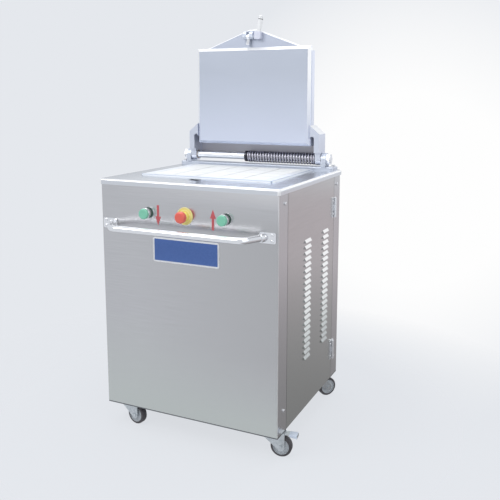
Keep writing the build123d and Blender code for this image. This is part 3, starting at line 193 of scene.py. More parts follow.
def grain_group():
    """Fine lines or specks that follow the piece, for tone and relief, and smudges for roughness."""
    group, given, result = new_group(
        "surface_grain",
        [
            ("Stretch", "NodeSocketVector", (1, 1, 1)),
            ("Fineness", "NodeSocketFloat", 200.0),
            ("Smudge size", "NodeSocketFloat", 4.0),
        ],
        ["Lines", "Smudges"],
    )
    place = group.nodes.new("ShaderNodeTexCoord")
    stretch = group.nodes.new("ShaderNodeVectorMath")
    stretch.operation = "MULTIPLY"
    lines = group.nodes.new("ShaderNodeTexNoise")
    lines.inputs["Detail"].default_value = GRAIN_DETAIL
    lines.inputs["Roughness"].default_value = GRAIN_ROUGHNESS
    smudges = group.nodes.new("ShaderNodeTexNoise")
    smudges.inputs["Detail"].default_value = GRAIN_DETAIL
    link = group.links.new
    link(place.outputs["Object"], stretch.inputs[0])
    link(given.outputs["Stretch"], stretch.inputs[1])
    link(stretch.outputs["Vector"], lines.inputs["Vector"])
    link(given.outputs["Fineness"], lines.inputs["Scale"])
    link(place.outputs["Object"], smudges.inputs["Vector"])
    link(given.outputs["Smudge size"], smudges.inputs["Scale"])
    link(lines.outputs["Fac"], result.inputs["Lines"])
    link(smudges.outputs["Fac"], result.inputs["Smudges"])
    return group


def edge_wear_and_shade_group():
    """A mask that is strongest along edges, broken up by noise: some finishes lay wear on it, others painted
    shade.
    """
    group, given, result = new_group("edge_wear_and_shade_mask", [("Radius", "NodeSocketFloat", 2 * MM)], ["Mask"])
    rounded = group.nodes.new("ShaderNodeBevel")
    rounded.samples = EDGE_MASK_SAMPLES
    flat = group.nodes.new("ShaderNodeNewGeometry")
    along = group.nodes.new("ShaderNodeVectorMath")
    along.operation = "DOT_PRODUCT"
    place = group.nodes.new("ShaderNodeTexCoord")
    patches = group.nodes.new("ShaderNodeTexNoise")
    patches.inputs["Detail"].default_value = EDGE_MASK_DETAIL
    patches.inputs["Scale"].default_value = EDGE_MASK_FINENESS
    link = group.links.new
    link(given.outputs["Radius"], rounded.inputs["Radius"])
    link(rounded.outputs["Normal"], along.inputs[0])
    link(flat.outputs["Normal"], along.inputs[1])
    link(place.outputs["Object"], patches.inputs["Vector"])
    sharp = spread(group, along.outputs["Value"], 0, 1, EDGE_MASK_START, EDGE_MASK_FULL)
    link(combine(group, "MULTIPLY", sharp, patches.outputs["Fac"]), result.inputs["Mask"])
    return group


def bevel_group():
    """A mask for the faces that lean out of the piece's own axes, its bevels, where a finish paints light on
    them. Those underneath are left out, as they lie in shade.
    """
    group, _, result = new_group("bevel_faces", [], ["Mask"])
    place = group.nodes.new("ShaderNodeTexCoord")
    sizes = group.nodes.new("ShaderNodeVectorMath")
    sizes.operation = "ABSOLUTE"
    parts = group.nodes.new("ShaderNodeSeparateXYZ")
    signed = group.nodes.new("ShaderNodeSeparateXYZ")
    link = group.links.new
    link(place.outputs["Normal"], sizes.inputs[0])
    link(sizes.outputs["Vector"], parts.inputs[0])
    link(place.outputs["Normal"], signed.inputs[0])
    largest = combine(group, "MAXIMUM", *(parts.outputs[axis] for axis in "XYZ"))
    leaning = spread(group, largest, 0, 1, BEVEL_START, BEVEL_FULL)
    upper = spread(group, signed.outputs["Z"], 0, 1, BEVEL_UP_START, BEVEL_UP_FULL)
    link(combine(group, "MULTIPLY", leaning, upper), result.inputs["Mask"])
    return group


GRAIN = grain_group()
EDGE_WEAR_AND_SHADE = edge_wear_and_shade_group()
BEVEL = bevel_group()
# Metallic value on bevels, lowered so that their painted highlight reads as a pale tone
BEVEL_METALLIC = 0.25


def new_material(name):
    """A material with its tree, its link call and its Principled shader."""
    material = bpy.data.materials.new(name)
    material.use_nodes = True
    tree = material.node_tree
    return material, tree, tree.links.new, tree.nodes["Principled BSDF"]


def place_group(tree, group, **values):
    """Puts a shader group into a material with its own values."""
    node = tree.nodes.new("ShaderNodeGroup")
    node.node_tree = group
    for socket, value in values.items():
        node.inputs[socket.replace("_", " ")].default_value = value
    return node.outputs


def surface(
    name,
    dark,
    light,
    metallic,
    rough,
    fineness,
    bump,
    stretch=(1, 1, 1),
    smudge_size=4.0,
    wear_and_shade_colour=None,
    wear_and_shade_radius=2 * MM,
    bevel_painted_light=None,
    coat=0.0,
):
    """A finish: two tones along the grain, roughness from smudges, a bump, an edge tone that is wear on some
    finishes and painted shade on others, and painted light on bevels.
    """
    material, tree, link, shader = new_material(name)
    grain = place_group(tree, GRAIN, Stretch=stretch, Fineness=fineness, Smudge_size=smudge_size)
    colour = between(tree, spread(tree, grain["Lines"], 0, 1), dark, light)
    shader.inputs["Metallic"].default_value = metallic
    shader.inputs["Coat Weight"].default_value = coat
    # Edge tone: wear on some finishes, painted shade along the edges on others
    if wear_and_shade_colour:
        colour = lay_over(tree, colour, wear_and_shade_colour, place_group(tree, EDGE_WEAR_AND_SHADE, Radius=wear_and_shade_radius)["Mask"])
    # Painted light on bevels: a painted highlight where the tone is pale, painted shade where it is dark
    if bevel_painted_light:
        bevel = place_group(tree, BEVEL)["Mask"]
        colour = lay_over(tree, colour, bevel_painted_light, bevel)
        link(spread(tree, bevel, metallic, BEVEL_METALLIC, 0, 1), shader.inputs["Metallic"])
    link(colour, shader.inputs["Base Color"])
    link(spread(tree, grain["Smudges"], *rough), shader.inputs["Roughness"])
    add_relief(tree, shader, grain["Lines"], bump)
    return material


def tint(material, colour, *ramps):
    """Brings another tone into a finish where all its ramps are full.

    A ramp is an axis, the place along it where the tone starts and the place where it is full.
    """
    tree = material.node_tree
    base = tree.nodes["Principled BSDF"].inputs["Base Color"]
    axes = coordinates(tree)
    shares = [spread(tree, axes[axis], 0, 1, start, full) for axis, start, full in ramps]
    mask = combine(tree, "MULTIPLY", *shares)
    tree.links.new(lay_over(tree, base.links[0].from_socket, colour, mask), base)


# How brushed metal is drawn out along its grain, and the brushing of each kind of piece
UPRIGHT_BRUSH = (14, 14, 0.35)
CROSS_BRUSH = (0.35, 14, 14)
LENGTH_BRUSH = (14, 0.35, 14)
PANEL_GRAIN = {"stretch": CROSS_BRUSH, "fineness": 24, "smudge_size": 2.5, "bump": 0.012}
DOOR_GRAIN = {**PANEL_GRAIN, "stretch": LENGTH_BRUSH}
TABLE_GRAIN = {**PANEL_GRAIN, "smudge_size": 3}
PRESS_GRAIN = {"stretch": CROSS_BRUSH, "fineness": 20, "smudge_size": 3, "bump": 0.008}
ROD_GRAIN = {"stretch": UPRIGHT_BRUSH, "fineness": 80, "smudge_size": 6, "bump": 0.02}
BLADE_GRAIN = {"stretch": CROSS_BRUSH, "fineness": 90, "smudge_size": 6, "bump": 0.03}

# Width of the ramp where one tone ends sharply in another
TONE_FADE = 1 * MM

# Finishes of the cabinet, with painted reflections of the tones that its steel mirrors and a painted shadow
# line along the panels' foot
# Panel steel: its bevels, the rounded corner bends, carry a painted highlight
panel_steel = surface(
    "panel_steel", paint(196, 196, 198), paint(201, 201, 203), metallic=1.0, rough=(0.20, 0.27),
    bevel_painted_light=paint(246, 246, 247), **PANEL_GRAIN,
)
FRONT_FACE = ("Y", -310.5 * MM, -311.5 * MM)
TO_PANEL_FOOT = ("Z", 0.45, 0.12)
TO_PANEL_RIGHT = ("X", -0.20, 0.34)
BELOW_CONTROLS = ("Z", 0.86, 0.78)
ABOVE_PANEL_FOOT = ("Z", 0.12, 0.36)
TO_PANEL_TOP_RIGHT = ("X", -0.30, 0.30)
TO_PANEL_TOP = ("Z", 0.85, 0.91)
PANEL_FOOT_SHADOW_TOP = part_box("front_panel")[0].z + 4.5 * MM
PANEL_FOOT_SHADOW = ("Z", PANEL_FOOT_SHADOW_TOP, PANEL_FOOT_SHADOW_TOP - TONE_FADE)
# Painted reflection: the front face turns slightly greener towards its foot
tint(panel_steel, paint(199, 203, 200), FRONT_FACE, TO_PANEL_FOOT)
# Painted reflection: the front face is darker towards the right, between the controls and the foot
tint(panel_steel, paint(187, 187, 188), FRONT_FACE, TO_PANEL_RIGHT, BELOW_CONTROLS, ABOVE_PANEL_FOOT)
# Painted highlight: a paler patch towards the top right of the front face
tint(panel_steel, paint(222, 221, 222), FRONT_FACE, TO_PANEL_TOP_RIGHT, TO_PANEL_TOP)
# Painted shadow: a dark line along the lowest 4.5 mm of the panels, where the folded foot lies in shade
tint(panel_steel, paint(112, 114, 117), PANEL_FOOT_SHADOW)
door_steel = surface(
    "door_steel", paint(192, 190, 190), paint(198, 196, 196), metallic=1.0, rough=(0.18, 0.24), **DOOR_GRAIN
)
TO_DOOR_FOOT = ("Z", 0.75, 0.35)
# Painted shade: the doors turn a little darker and more neutral towards their foot
tint(door_steel, paint(190, 193, 191), TO_DOOR_FOOT)
# Table steel: its bevels, the rounded front lip, carry a painted highlight
table_steel = surface(
    "table_steel", paint(214, 217, 222), paint(221, 224, 229), metallic=1.0, rough=(0.20, 0.28),
    bevel_painted_light=paint(252, 252, 253), **TABLE_GRAIN,
)
TO_TABLE_LEFT = ("X", -0.18, -0.33)
TABLE_FACE = ("Z", 0.918, 0.9205)
# Painted reflection: the table top is darker towards its left end
tint(table_steel, paint(197, 200, 205), TO_TABLE_LEFT, TABLE_FACE)

# Finishes of the lid, its hinge and the bright fittings
# Press plate: its chamfered rim carries a painted highlight
press_aluminium = surface(
    "press_aluminium", paint(203, 209, 221), paint(206, 212, 224), metallic=0.9, rough=(0.18, 0.25),
    bevel_painted_light=paint(250, 251, 252), **PRESS_GRAIN,
)
TO_PRESS_PLATE_FOOT = ("Z", 1.30, 1.03)
# Painted reflection: the press plate turns paler and bluer towards its foot, mirroring the white bed
tint(press_aluminium, paint(226, 232, 248), TO_PRESS_PLATE_FOOT)
cast_aluminium = surface(
    "cast_aluminium", paint(196, 202, 214), paint(210, 216, 227), metallic=0.75, rough=(0.34, 0.48),
    fineness=260, bump=0.10, wear_and_shade_colour=paint(240, 243, 248),
)
# Lid casting: its chamfers carry a painted highlight
lid_aluminium = surface(
    "lid_aluminium", paint(206, 211, 224), paint(214, 219, 231), metallic=0.7, rough=(0.34, 0.46),
    fineness=260, bump=0.06, wear_and_shade_colour=paint(240, 243, 248), bevel_painted_light=paint(249, 250, 252),
)
WEB_TOP, WEB_END, WEB_FRONT = 1.053, 0.263, 0.277
LID_WEB = (
    ("Y", WEB_FRONT - TONE_FADE, WEB_FRONT),
    ("Z", WEB_TOP, WEB_TOP - TONE_FADE),
    ("X", WEB_END, WEB_END - TONE_FADE),
    ("X", -WEB_END, TONE_FADE - WEB_END),
)
NOSE_LOW, NOSE_FACE_Y = 1.39, 230.5 * MM
UP_TO_NOSE = ("Z", NOSE_LOW, NOSE_LOW + 4 * MM)
NOSE_FACE = ("Y", NOSE_FACE_Y + 0.8 * MM, NOSE_FACE_Y + 0.3 * MM)
# Painted shade: the lid's web below the press plate is darker, as in the plate's shade
tint(lid_aluminium, paint(172, 171, 178), *LID_WEB)
# Painted shade: the nose's flat front face is darker than the rest of the lid, leaving its chamfers as the
# highlight
tint(lid_aluminium, paint(186, 192, 206), UP_TO_NOSE, NOSE_FACE)
satin_steel = surface(
    "satin_steel", paint(226, 228, 232), paint(236, 238, 241), metallic=0.8, rough=(0.26, 0.36),
    wear_and_shade_colour=paint(250, 250, 252), **ROD_GRAIN,
)
grip_steel = surface(
    "grip_steel", paint(250, 251, 252), paint(252, 253, 254), metallic=0.15, rough=(0.26, 0.36), **ROD_GRAIN
)
GRIP_BLOCK_TOP = 1.4545
GRIP_BLOCK = ("Z", GRIP_BLOCK_TOP, GRIP_BLOCK_TOP - TONE_FADE)
tint(grip_steel, paint(228, 231, 245), GRIP_BLOCK)
bright_steel = surface(
    "bright_steel", paint(230, 231, 234), paint(238, 239, 241), metallic=1.0, rough=(0.10, 0.18), **ROD_GRAIN
)
spring_wire = surface(
    "spring_wire", paint(168, 166, 176), paint(192, 190, 200), metallic=1.0, rough=(0.16, 0.26),
    fineness=150, bump=0.06,
)
bronze = surface(
    "bronze", paint(158, 142, 120), paint(174, 158, 134), metallic=1.0, rough=(0.3, 0.45),
    fineness=120, bump=0.05,
)

# Finishes of the pot, the works inside and the castors
blade_steel = surface(
    "blade_steel", paint(92, 96, 106), paint(108, 112, 122), metallic=1.0, rough=(0.22, 0.34), **BLADE_GRAIN
)
# Press blocks: the dark tone along their edges is painted shade in the slots between the blocks
block_plastic = surface(
    "block_plastic", paint(243, 244, 243), paint(248, 249, 248), metallic=0.0, rough=(0.42, 0.52),
    fineness=300, bump=0.04, wear_and_shade_colour=paint(96, 100, 108), wear_and_shade_radius=3.5 * MM,
)
# Pot: its bevels, the collar's edges, are painted darker as shade
pot_aluminium = surface(
    "pot_aluminium", paint(238, 242, 247), paint(243, 247, 251), metallic=0.3, rough=(0.32, 0.42),
    fineness=240, bump=0.05, bevel_painted_light=paint(170, 182, 204),
)
frame_paint = surface(
    "frame_paint", paint(88, 90, 94), paint(98, 100, 104), metallic=0.0, rough=(0.45, 0.6),
    fineness=300, bump=0.2, wear_and_shade_colour=paint(140, 142, 145),
)
machine_enamel = surface(
    "machine_enamel", paint(112, 115, 120), paint(124, 127, 132), metallic=0.0, rough=(0.35, 0.5),
    fineness=300, bump=0.15, wear_and_shade_colour=paint(170, 172, 175),
)
tank_paint = surface(
    "tank_paint", paint(62, 82, 104), paint(70, 92, 116), metallic=0.0, rough=(0.35, 0.5),
    fineness=280, bump=0.15, wear_and_shade_colour=paint(150, 156, 162),
)
box_paint = surface(
    "box_paint", paint(204, 206, 208), paint(214, 216, 218), metallic=0.0, rough=(0.45, 0.55),
    fineness=400, bump=0.25,
)
hose_rubber = surface(
    "hose_rubber", paint(22, 22, 23), paint(32, 32, 33), metallic=0.0, rough=(0.6, 0.75),
    fineness=300, bump=0.3,
)
zinc_plate = surface(
    "zinc_plate", paint(184, 190, 194), paint(212, 217, 220), metallic=0.9, rough=(0.24, 0.38),
    fineness=120, bump=0.06, wear_and_shade_colour=paint(236, 239, 241),
)
# Pedal pads: the dark tone along their edges is painted shade that outlines them
pedal_plastic = surface(
    "pedal_plastic", paint(216, 227, 243), paint(223, 233, 246), metallic=0.0, rough=(0.35, 0.45),
    fineness=300, bump=0.05, wear_and_shade_colour=paint(128, 142, 172), wear_and_shade_radius=1.2 * MM,
)

# Finishes of the controls, the plate and the signs
black_plastic = surface(
    "black_plastic", paint(24, 24, 26), paint(34, 34, 37), metallic=0.0, rough=(0.4, 0.55),
    fineness=500, bump=0.2,
)
green_plastic = surface(
    "green_plastic", paint(130, 210, 178), paint(142, 217, 189), metallic=0.0, rough=(0.22, 0.32),
    fineness=300, bump=0.03, coat=0.3,
)
red_plastic = surface(
    "red_plastic", paint(240, 102, 86), paint(246, 116, 100), metallic=0.0, rough=(0.22, 0.32),
    fineness=300, bump=0.03, coat=0.3,
)
yellow_plastic = surface(
    "yellow_plastic", paint(249, 234, 134), paint(251, 239, 146), metallic=0.0, rough=(0.3, 0.4),
    fineness=300, bump=0.03,
)
pale_yellow = surface(
    "pale_yellow", paint(253, 246, 172), paint(254, 249, 184), metallic=0.0, rough=(0.3, 0.4),
    fineness=300, bump=0.03,
)
plate_blue = surface(
    "plate_blue", paint(72, 106, 174), paint(82, 116, 184), metallic=0.0, rough=(0.3, 0.4),
    fineness=260, bump=0.03,
)
plate_white = surface(
    "plate_white", paint(238, 240, 244), paint(246, 248, 250), metallic=0.0, rough=(0.3, 0.4),
    fineness=260, bump=0.03,
)
sign_red = surface(
    "sign_red", paint(204, 92, 98), paint(210, 102, 108), metallic=0.0, rough=(0.4, 0.5),
    fineness=260, bump=0.03,
)

# Finishes that differ from place to place on one node
FITTING_GRAIN = {"Fineness": 300.0, "Smudge_size": 30.0}
FITTING_BUMP = 0.05
SPRING_COLLAR = (-45 * MM, -28 * MM)
ESTOP_COLLAR = (-40 * MM, 40 * MM)
WHEEL_GRAIN = {"Fineness": 260.0, "Smudge_size": 25.0}
WHEEL_ROUGH = (0.5, 0.68)
WHEEL_BUMP, WHEEL_BUMP_DEPTH = 0.15, 0.3 * MM
WHEEL_DISC, WHEEL_TREAD = paint(196, 201, 205), paint(78, 75, 78)
WHEEL_DISC_END, WHEEL_TREAD_START = 30 * MM, 31 * MM


def two_tone(name, axis, limits, inside, outside, rough):
    """Two finishes on one node, told apart by place along an axis: each is a colour and a metallic value."""
    material, tree, link, shader = new_material(name)
    offset = tree.nodes.new("ShaderNodeMath")
    offset.operation = "COMPARE"
    offset.inputs[1].default_value = sum(limits) / 2
    offset.inputs[2].default_value = abs(limits[1] - limits[0]) / 2
    link(coordinates(tree)[axis], offset.inputs[0])
    within = offset.outputs["Value"]
    grain = place_group(tree, GRAIN, **FITTING_GRAIN)
    link(between(tree, within, outside[0], inside[0]), shader.inputs["Base Color"])
    shader.inputs["Metallic"].default_value = outside[1]
    if inside[1] != outside[1]:
        link(spread(tree, within, outside[1], inside[1], 0, 1), shader.inputs["Metallic"])
    link(spread(tree, grain["Smudges"], *rough), shader.inputs["Roughness"])
    add_relief(tree, shader, grain["Lines"], FITTING_BUMP)
    return material


def wheel_material(name, centre):
    """Grey tread and paler disc, told apart by the distance from the wheel's centre."""
    material, tree, link, shader = new_material(f"wheel_{name}")
    tread = spread(tree, distance_from(tree, centre), 0, 1, WHEEL_DISC_END, WHEEL_TREAD_START)
    grain = place_group(tree, GRAIN, **WHEEL_GRAIN)
    link(between(tree, tread, WHEEL_DISC, WHEEL_TREAD), shader.inputs["Base Color"])
    link(spread(tree, grain["Smudges"], *WHEEL_ROUGH), shader.inputs["Roughness"])
    add_relief(tree, shader, grain["Lines"], WHEEL_BUMP, WHEEL_BUMP_DEPTH)
    return material


def set_finish(node, material):
    """Gives a CAD node its finish."""
    if not NODES[node].material_slots:
        NODES[node].data.materials.append(material)
    for slot in NODES[node].material_slots:
        slot.material = material


fittings_finish = two_tone(
    "fittings_finish", "X", SPRING_COLLAR, (paint(46, 46, 56), 0.3), (paint(232, 233, 236), 1.0), (0.18, 0.28)
)
bezel_finish = two_tone(
    "bezel_finish", "X", ESTOP_COLLAR, (paint(250, 239, 142), 0.0), (paint(142, 150, 146), 0.0), (0.3, 0.42)
)
FINISHES = {
    "front_panel": panel_steel,
    "rear_panel": panel_steel,
    "right_door": door_steel,
    "left_door": door_steel,
    "table_top": table_steel,
    "frame": frame_paint,
    "base_plate": frame_paint,
    "pot": pot_aluminium,
    "guide_columns": bright_steel,
    "lift_cylinders": machine_enamel,
    "oil_tank": tank_paint,
    "pump_motor": tank_paint,
    "valve_block": cast_aluminium,
    "hydraulic_hoses": hose_rubber,
    "control_box": box_paint,
    "cable_gland": black_plastic,
    "contact_blocks": black_plastic,
    "control_bezels": bezel_finish,
    "estop_disc": yellow_plastic,
    "handle_bar": bright_steel,
    "handle_feet": bright_steel,
    "panel_screws": bright_steel,
    "hinge_beam": cast_aluminium,
    "beam_bolts": bright_steel,
    "hinge_lugs": cast_aluminium,
    "hinge_shaft": satin_steel,
    "shaft_fittings": fittings_finish,
    "lid_spring": spring_wire,
    "frame_hinge_leaves": satin_steel,
    "right_door_leaves": satin_steel,
    "left_door_leaves": satin_steel,
    "hinge_pins": bright_steel,
    "castor_plates": zinc_plate,
    "lid_frame": lid_aluminium,
    "lid_press_plate": press_aluminium,
    "press_plate_screws": bright_steel,
    "ear_bushes": bronze,
    "latch_clevis": cast_aluminium,
    "lid_handle": grip_steel,
    "latch_hook": bright_steel,
    "press_blocks": block_plastic,
    "block_carrier": machine_enamel,
    "press_rod": bright_steel,
    "knife_grid": blade_steel,
    "knife_carrier": machine_enamel,
    "knife_rods": bright_steel,
    "up_button": green_plastic,
    "down_button": green_plastic,
    "estop_stem": yellow_plastic,
    "estop_head": red_plastic,
}
for node, material in FINISHES.items():
    set_finish(node, material)
for castor in BRAKED_CASTORS:
    set_finish(f"castor_brake_{castor}", zinc_plate)
for castor in CASTORS:
    set_finish(f"castor_fork_{castor}", zinc_plate)
    low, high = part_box(f"castor_wheel_{castor}")
    set_finish(f"castor_wheel_{castor}", wheel_material(castor, (low + high) / 2))

# Pieces added to the CAD model
SMOOTH_ANGLE = radians(35)
# Least part of a face's normal along an axis for the face to look that way
FACING, FACING_CLOSELY = 0.9, 0.99
FRONT = (0, -1, 0)


def start(operator, **settings):
    """Adds a primitive with nothing else selected, and gives back its object in edit mode."""
    bpy.ops.object.select_all(action="DESELECT")
    operator(**settings)
    bpy.ops.object.mode_set(mode="EDIT")
    return bpy.context.object


def done(piece, name, body, slot, *materials):
    """Ends the modelling of a piece: its place goes into its mesh, and it rides on a body."""
    bpy.ops.object.mode_set(mode="OBJECT")
    bpy.ops.object.transform_apply(location=True, rotation=True, scale=True)
    bpy.ops.object.shade_smooth_by_angle(angle=SMOOTH_ANGLE)
    piece.name = name
    piece.data.name = name
    for material in materials:
        piece.data.materials.append(material)
    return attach(piece, body)


def apply_place():
    """Puts the place, turn and size of the piece in edit mode into its mesh."""
    bpy.ops.object.mode_set(mode="OBJECT")
    bpy.ops.object.transform_apply(location=True, rotation=True, scale=True)
    bpy.ops.object.mode_set(mode="EDIT")


def pick_faces(piece, wanted):
    """In edit mode, selects only the faces that a test wants."""
    bpy.ops.mesh.select_mode(type="FACE")
    bpy.ops.mesh.select_all(action="DESELECT")
    bpy.ops.object.mode_set(mode="OBJECT")
    for face in piece.data.polygons:
        face.select = wanted(face)
    bpy.ops.object.mode_set(mode="EDIT")


def pick_edges(piece, wanted):
    """In edit mode, selects only the edges whose two ends a test wants."""
    bpy.ops.mesh.select_mode(type="EDGE")
    bpy.ops.mesh.select_all(action="DESELECT")
    bpy.ops.object.mode_set(mode="OBJECT")
    points = piece.data.vertices
    for edge in piece.data.edges:
        edge.select = wanted(*(points[end].co for end in edge.vertices))
    bpy.ops.object.mode_set(mode="EDIT")


def faces_front(face):
    """Whether a face looks to the front."""
    return face.normal.y < -FACING


def copy_of(model, place, turn):
    """A copy of a model with its own mesh, at a place and a turn, the only piece selected."""
    copy = model.copy()
    copy.data = model.data.copy()
    copy.location = place
    copy.rotation_euler = turn
    bpy.context.scene.collection.objects.link(copy)
    bpy.ops.object.select_all(action="DESELECT")
    copy.select_set(True)
    bpy.context.view_layer.objects.active = copy
    return copy


def upright_to(way):
    """The turn that takes an upright model's axis to a way."""
    return Vector(way).to_track_quat("Z", "Y").to_euler()


PANEL_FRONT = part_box("front_panel")[0].y
PLATE_HALF_WIDTH = 128 * MM
PLATE_LOW, PLATE_HIGH = 643 * MM, 729 * MM
PLATE_THICKNESS = 1.2 * MM
PLATE_BORDER = 5 * MM
PLATE_CORNER = 7 * MM
PLATE_STEP = 0.4 * MM


def name_plate():
    """A bare enamel plate with rounded corners and a pale raised border."""
    middle = (0, PANEL_FRONT - PLATE_THICKNESS / 2, (PLATE_LOW + PLATE_HIGH) / 2)
    piece = start(bpy.ops.mesh.primitive_cube_add, size=1, location=middle)
    bpy.ops.transform.resize(value=(2 * PLATE_HALF_WIDTH, PLATE_THICKNESS, PLATE_HIGH - PLATE_LOW))
    apply_place()
    pick_edges(piece, lambda one, other: abs(one.y - other.y) > PLATE_THICKNESS / 2)
    bpy.ops.mesh.bevel(offset=PLATE_CORNER, segments=6, affect="EDGES")
    pick_faces(piece, faces_front)
    bpy.ops.mesh.inset(thickness=PLATE_BORDER, depth=0)
    bpy.ops.mesh.inset(thickness=PLATE_STEP, depth=-PLATE_STEP)
    bpy.ops.object.mode_set(mode="OBJECT")
    enamel = max(filter(faces_front, piece.data.polygons), key=lambda face: face.area)
    enamel.material_index = 1
    bpy.ops.object.mode_set(mode="EDIT")
    done(piece, "name_plate", "cabinet", "panel_steel", plate_white, plate_blue)


ARROW_X = 106 * MM
ARROW_LOW, ARROW_HIGH = 771 * MM, 840 * MM
ARROW_HEAD = 30 * MM
ARROW_HEAD_WIDTH = 22 * MM
ARROW_SHAFT_WIDTH = 8.5 * MM
ARROW_THICKNESS = 0.5 * MM
# Size of a three-sided cylinder of radius 1
TRIANGLE_WIDTH, TRIANGLE_HEIGHT = sqrt(3), 1.5


def arrow(name, x, up):
    """A thin red arrow sign on the panel: a three-sided head whose foot is drawn out into a shaft."""
    piece = start(bpy.ops.mesh.primitive_cylinder_add, vertices=3, radius=1, depth=1, rotation=(pi / 2, 0, 0))
    piece.scale = (ARROW_HEAD_WIDTH / TRIANGLE_WIDTH, ARROW_HEAD / TRIANGLE_HEIGHT, ARROW_THICKNESS)
    apply_place()
    for side in (-1, 1):
        bpy.ops.mesh.select_all(action="SELECT")
        bpy.ops.mesh.bisect(plane_co=(side * ARROW_SHAFT_WIDTH / 2, 0, 0), plane_no=(1, 0, 0))
    pick_faces(piece, lambda face: face.normal.z < -FACING and abs(face.center.x) < ARROW_SHAFT_WIDTH / 4)
    shaft = ARROW_HIGH - ARROW_LOW - ARROW_HEAD
    bpy.ops.mesh.extrude_region_move(TRANSFORM_OT_translate={"value": (0, 0, -shaft)})
    bpy.ops.object.mode_set(mode="OBJECT")
    tip_above_origin = ARROW_HEAD / TRIANGLE_HEIGHT
    piece.rotation_euler = (0, 0 if up else pi, 0)
    height = ARROW_HIGH - tip_above_origin if up else ARROW_LOW + tip_above_origin
    piece.location = (x, PANEL_FRONT - ARROW_THICKNESS / 2, height)
    bpy.ops.object.mode_set(mode="EDIT")
    done(piece, name, "cabinet", "red_plastic", sign_red)


RING_EDGE_SHARE = 0.3


def ring(inner, outer, length):
    """A turned ring at the origin, upright: a tube with rounded edges. It is the model for copies."""
    piece = start(
        bpy.ops.mesh.primitive_cylinder_add, vertices=64, radius=outer, depth=length, end_fill_type="NOTHING"
    )
    bpy.ops.object.mode_set(mode="OBJECT")
    wall = piece.modifiers.new("wall", "SOLIDIFY")
    wall.thickness = outer - inner
    wall.offset = -1
    edge = piece.modifiers.new("edge", "BEVEL")
    edge.width = min(outer - inner, length) * RING_EDGE_SHARE
    edge.segments = 3
    edge.limit_method = "ANGLE"
    for modifier in ("wall", "edge"):
        bpy.ops.object.modifier_apply(modifier=modifier)
    return piece


CONTROL_Z = 810 * MM
BUTTON_X = 150 * MM
BUTTON_CAP = 14 * MM
RIM_INNER, RIM_OUTER = 18 * MM, 19.2 * MM
RIM_BACK, RIM_FRONT = 4 * MM, -5 * MM
DISC_RINGS = {"inner": 22 * MM, "outer": 29.5 * MM}
DISC_RING_WIDTH, DISC_RING_HEIGHT = 3.5 * MM, 2.4 * MM


def control_trim():
    """Chrome rims round the push buttons, and raised rings on the emergency stop's disc."""
    rim = ring(RIM_INNER, RIM_OUTER, RIM_BACK - RIM_FRONT)
    for side, body in ((-1, "down_button"), (1, "up_button")):
        cap_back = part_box(body)[0].y + BUTTON_CAP
        middle = (side * BUTTON_X, cap_back + (RIM_BACK + RIM_FRONT) / 2, CONTROL_Z)
        done(copy_of(rim, middle, upright_to(FRONT)), f"{body}_rim", body, "bezel", bright_steel)
    bpy.data.objects.remove(rim)
    face = (0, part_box("estop_disc")[0].y, CONTROL_Z)
    for name, outer in DISC_RINGS.items():
        raised = ring(outer - DISC_RING_WIDTH, outer, DISC_RING_HEIGHT)
        piece = copy_of(raised, face, upright_to(FRONT))
        done(piece, f"estop_{name}_ring", "cabinet", "yellow_plastic", pale_yellow)
        bpy.data.objects.remove(raised)


FOOT_X, FOOT_Z = 290 * MM, 764 * MM
HANDLE_WAY = Vector((39, 73, 2))
HANDLE_RADIUS = 11 * MM
SOCKET_GAP, SOCKET_WALL = 0.1 * MM, 3.5 * MM
SOCKET_LENGTH, SOCKET_SETBACK = 12 * MM, 9 * MM


def handle_sockets():
    """The turned sockets where the push handle's legs meet their feet."""
    socket = ring(HANDLE_RADIUS + SOCKET_GAP, HANDLE_RADIUS + SOCKET_WALL, SOCKET_LENGTH)
    foot_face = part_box("handle_feet")[0].y
    for side, name in ((-1, "left"), (1, "right")):
        way = Vector((side * HANDLE_WAY.x, HANDLE_WAY.y, HANDLE_WAY.z)).normalized()
        middle = Vector((side * FOOT_X, foot_face, FOOT_Z)) - way * SOCKET_SETBACK
        piece = copy_of(socket, middle, upright_to(way))
        done(piece, f"handle_socket_{name}", "cabinet", "bright_steel", bright_steel)
    bpy.data.objects.remove(socket)


GRIP_FOOT = Vector((25, 221, 1435)) * MM
GRIP_TOP = Vector((39, 221, 1513.5)) * MM
GRIP_CAP = 12 * MM
BAND_INNER, BAND_OUTER, BAND_LENGTH = 8.8 * MM, 9.5 * MM, 2.4 * MM


def grip_band():
    """A dark band under the end cap of the lid's grip."""
    band = ring(BAND_INNER, BAND_OUTER, BAND_LENGTH)
    way = (GRIP_TOP - GRIP_FOOT).normalized()
    middle = GRIP_TOP - way * (GRIP_CAP + BAND_LENGTH / 2)
    done(copy_of(band, middle, upright_to(way)), "lid_grip_band", "lid", "black_plastic", black_plastic)
    bpy.data.objects.remove(band)


WHEEL_HALF = 12 * MM
HUB_INNER, HUB_OUTER, HUB_HEIGHT = 8 * MM, 13.5 * MM, 1.4 * MM


def wheel_hubs():
    """A raised ring round the axle on both faces of each castor wheel."""
    hub = ring(HUB_INNER, HUB_OUTER, HUB_HEIGHT)
    for castor in CASTORS:
        spin = JOINTS[f"wheel_{castor}"]
        way = Vector(spin["axis"])
        for side, name in ((-1, "near"), (1, "far")):
            middle = Vector(spin["pos_m"]) + way * side * WHEEL_HALF
            piece = copy_of(hub, middle, upright_to(way))
            done(piece, f"hub_{castor}_{name}", f"wheel_{castor}", "castor_zinc", zinc_plate)
    bpy.data.objects.remove(hub)


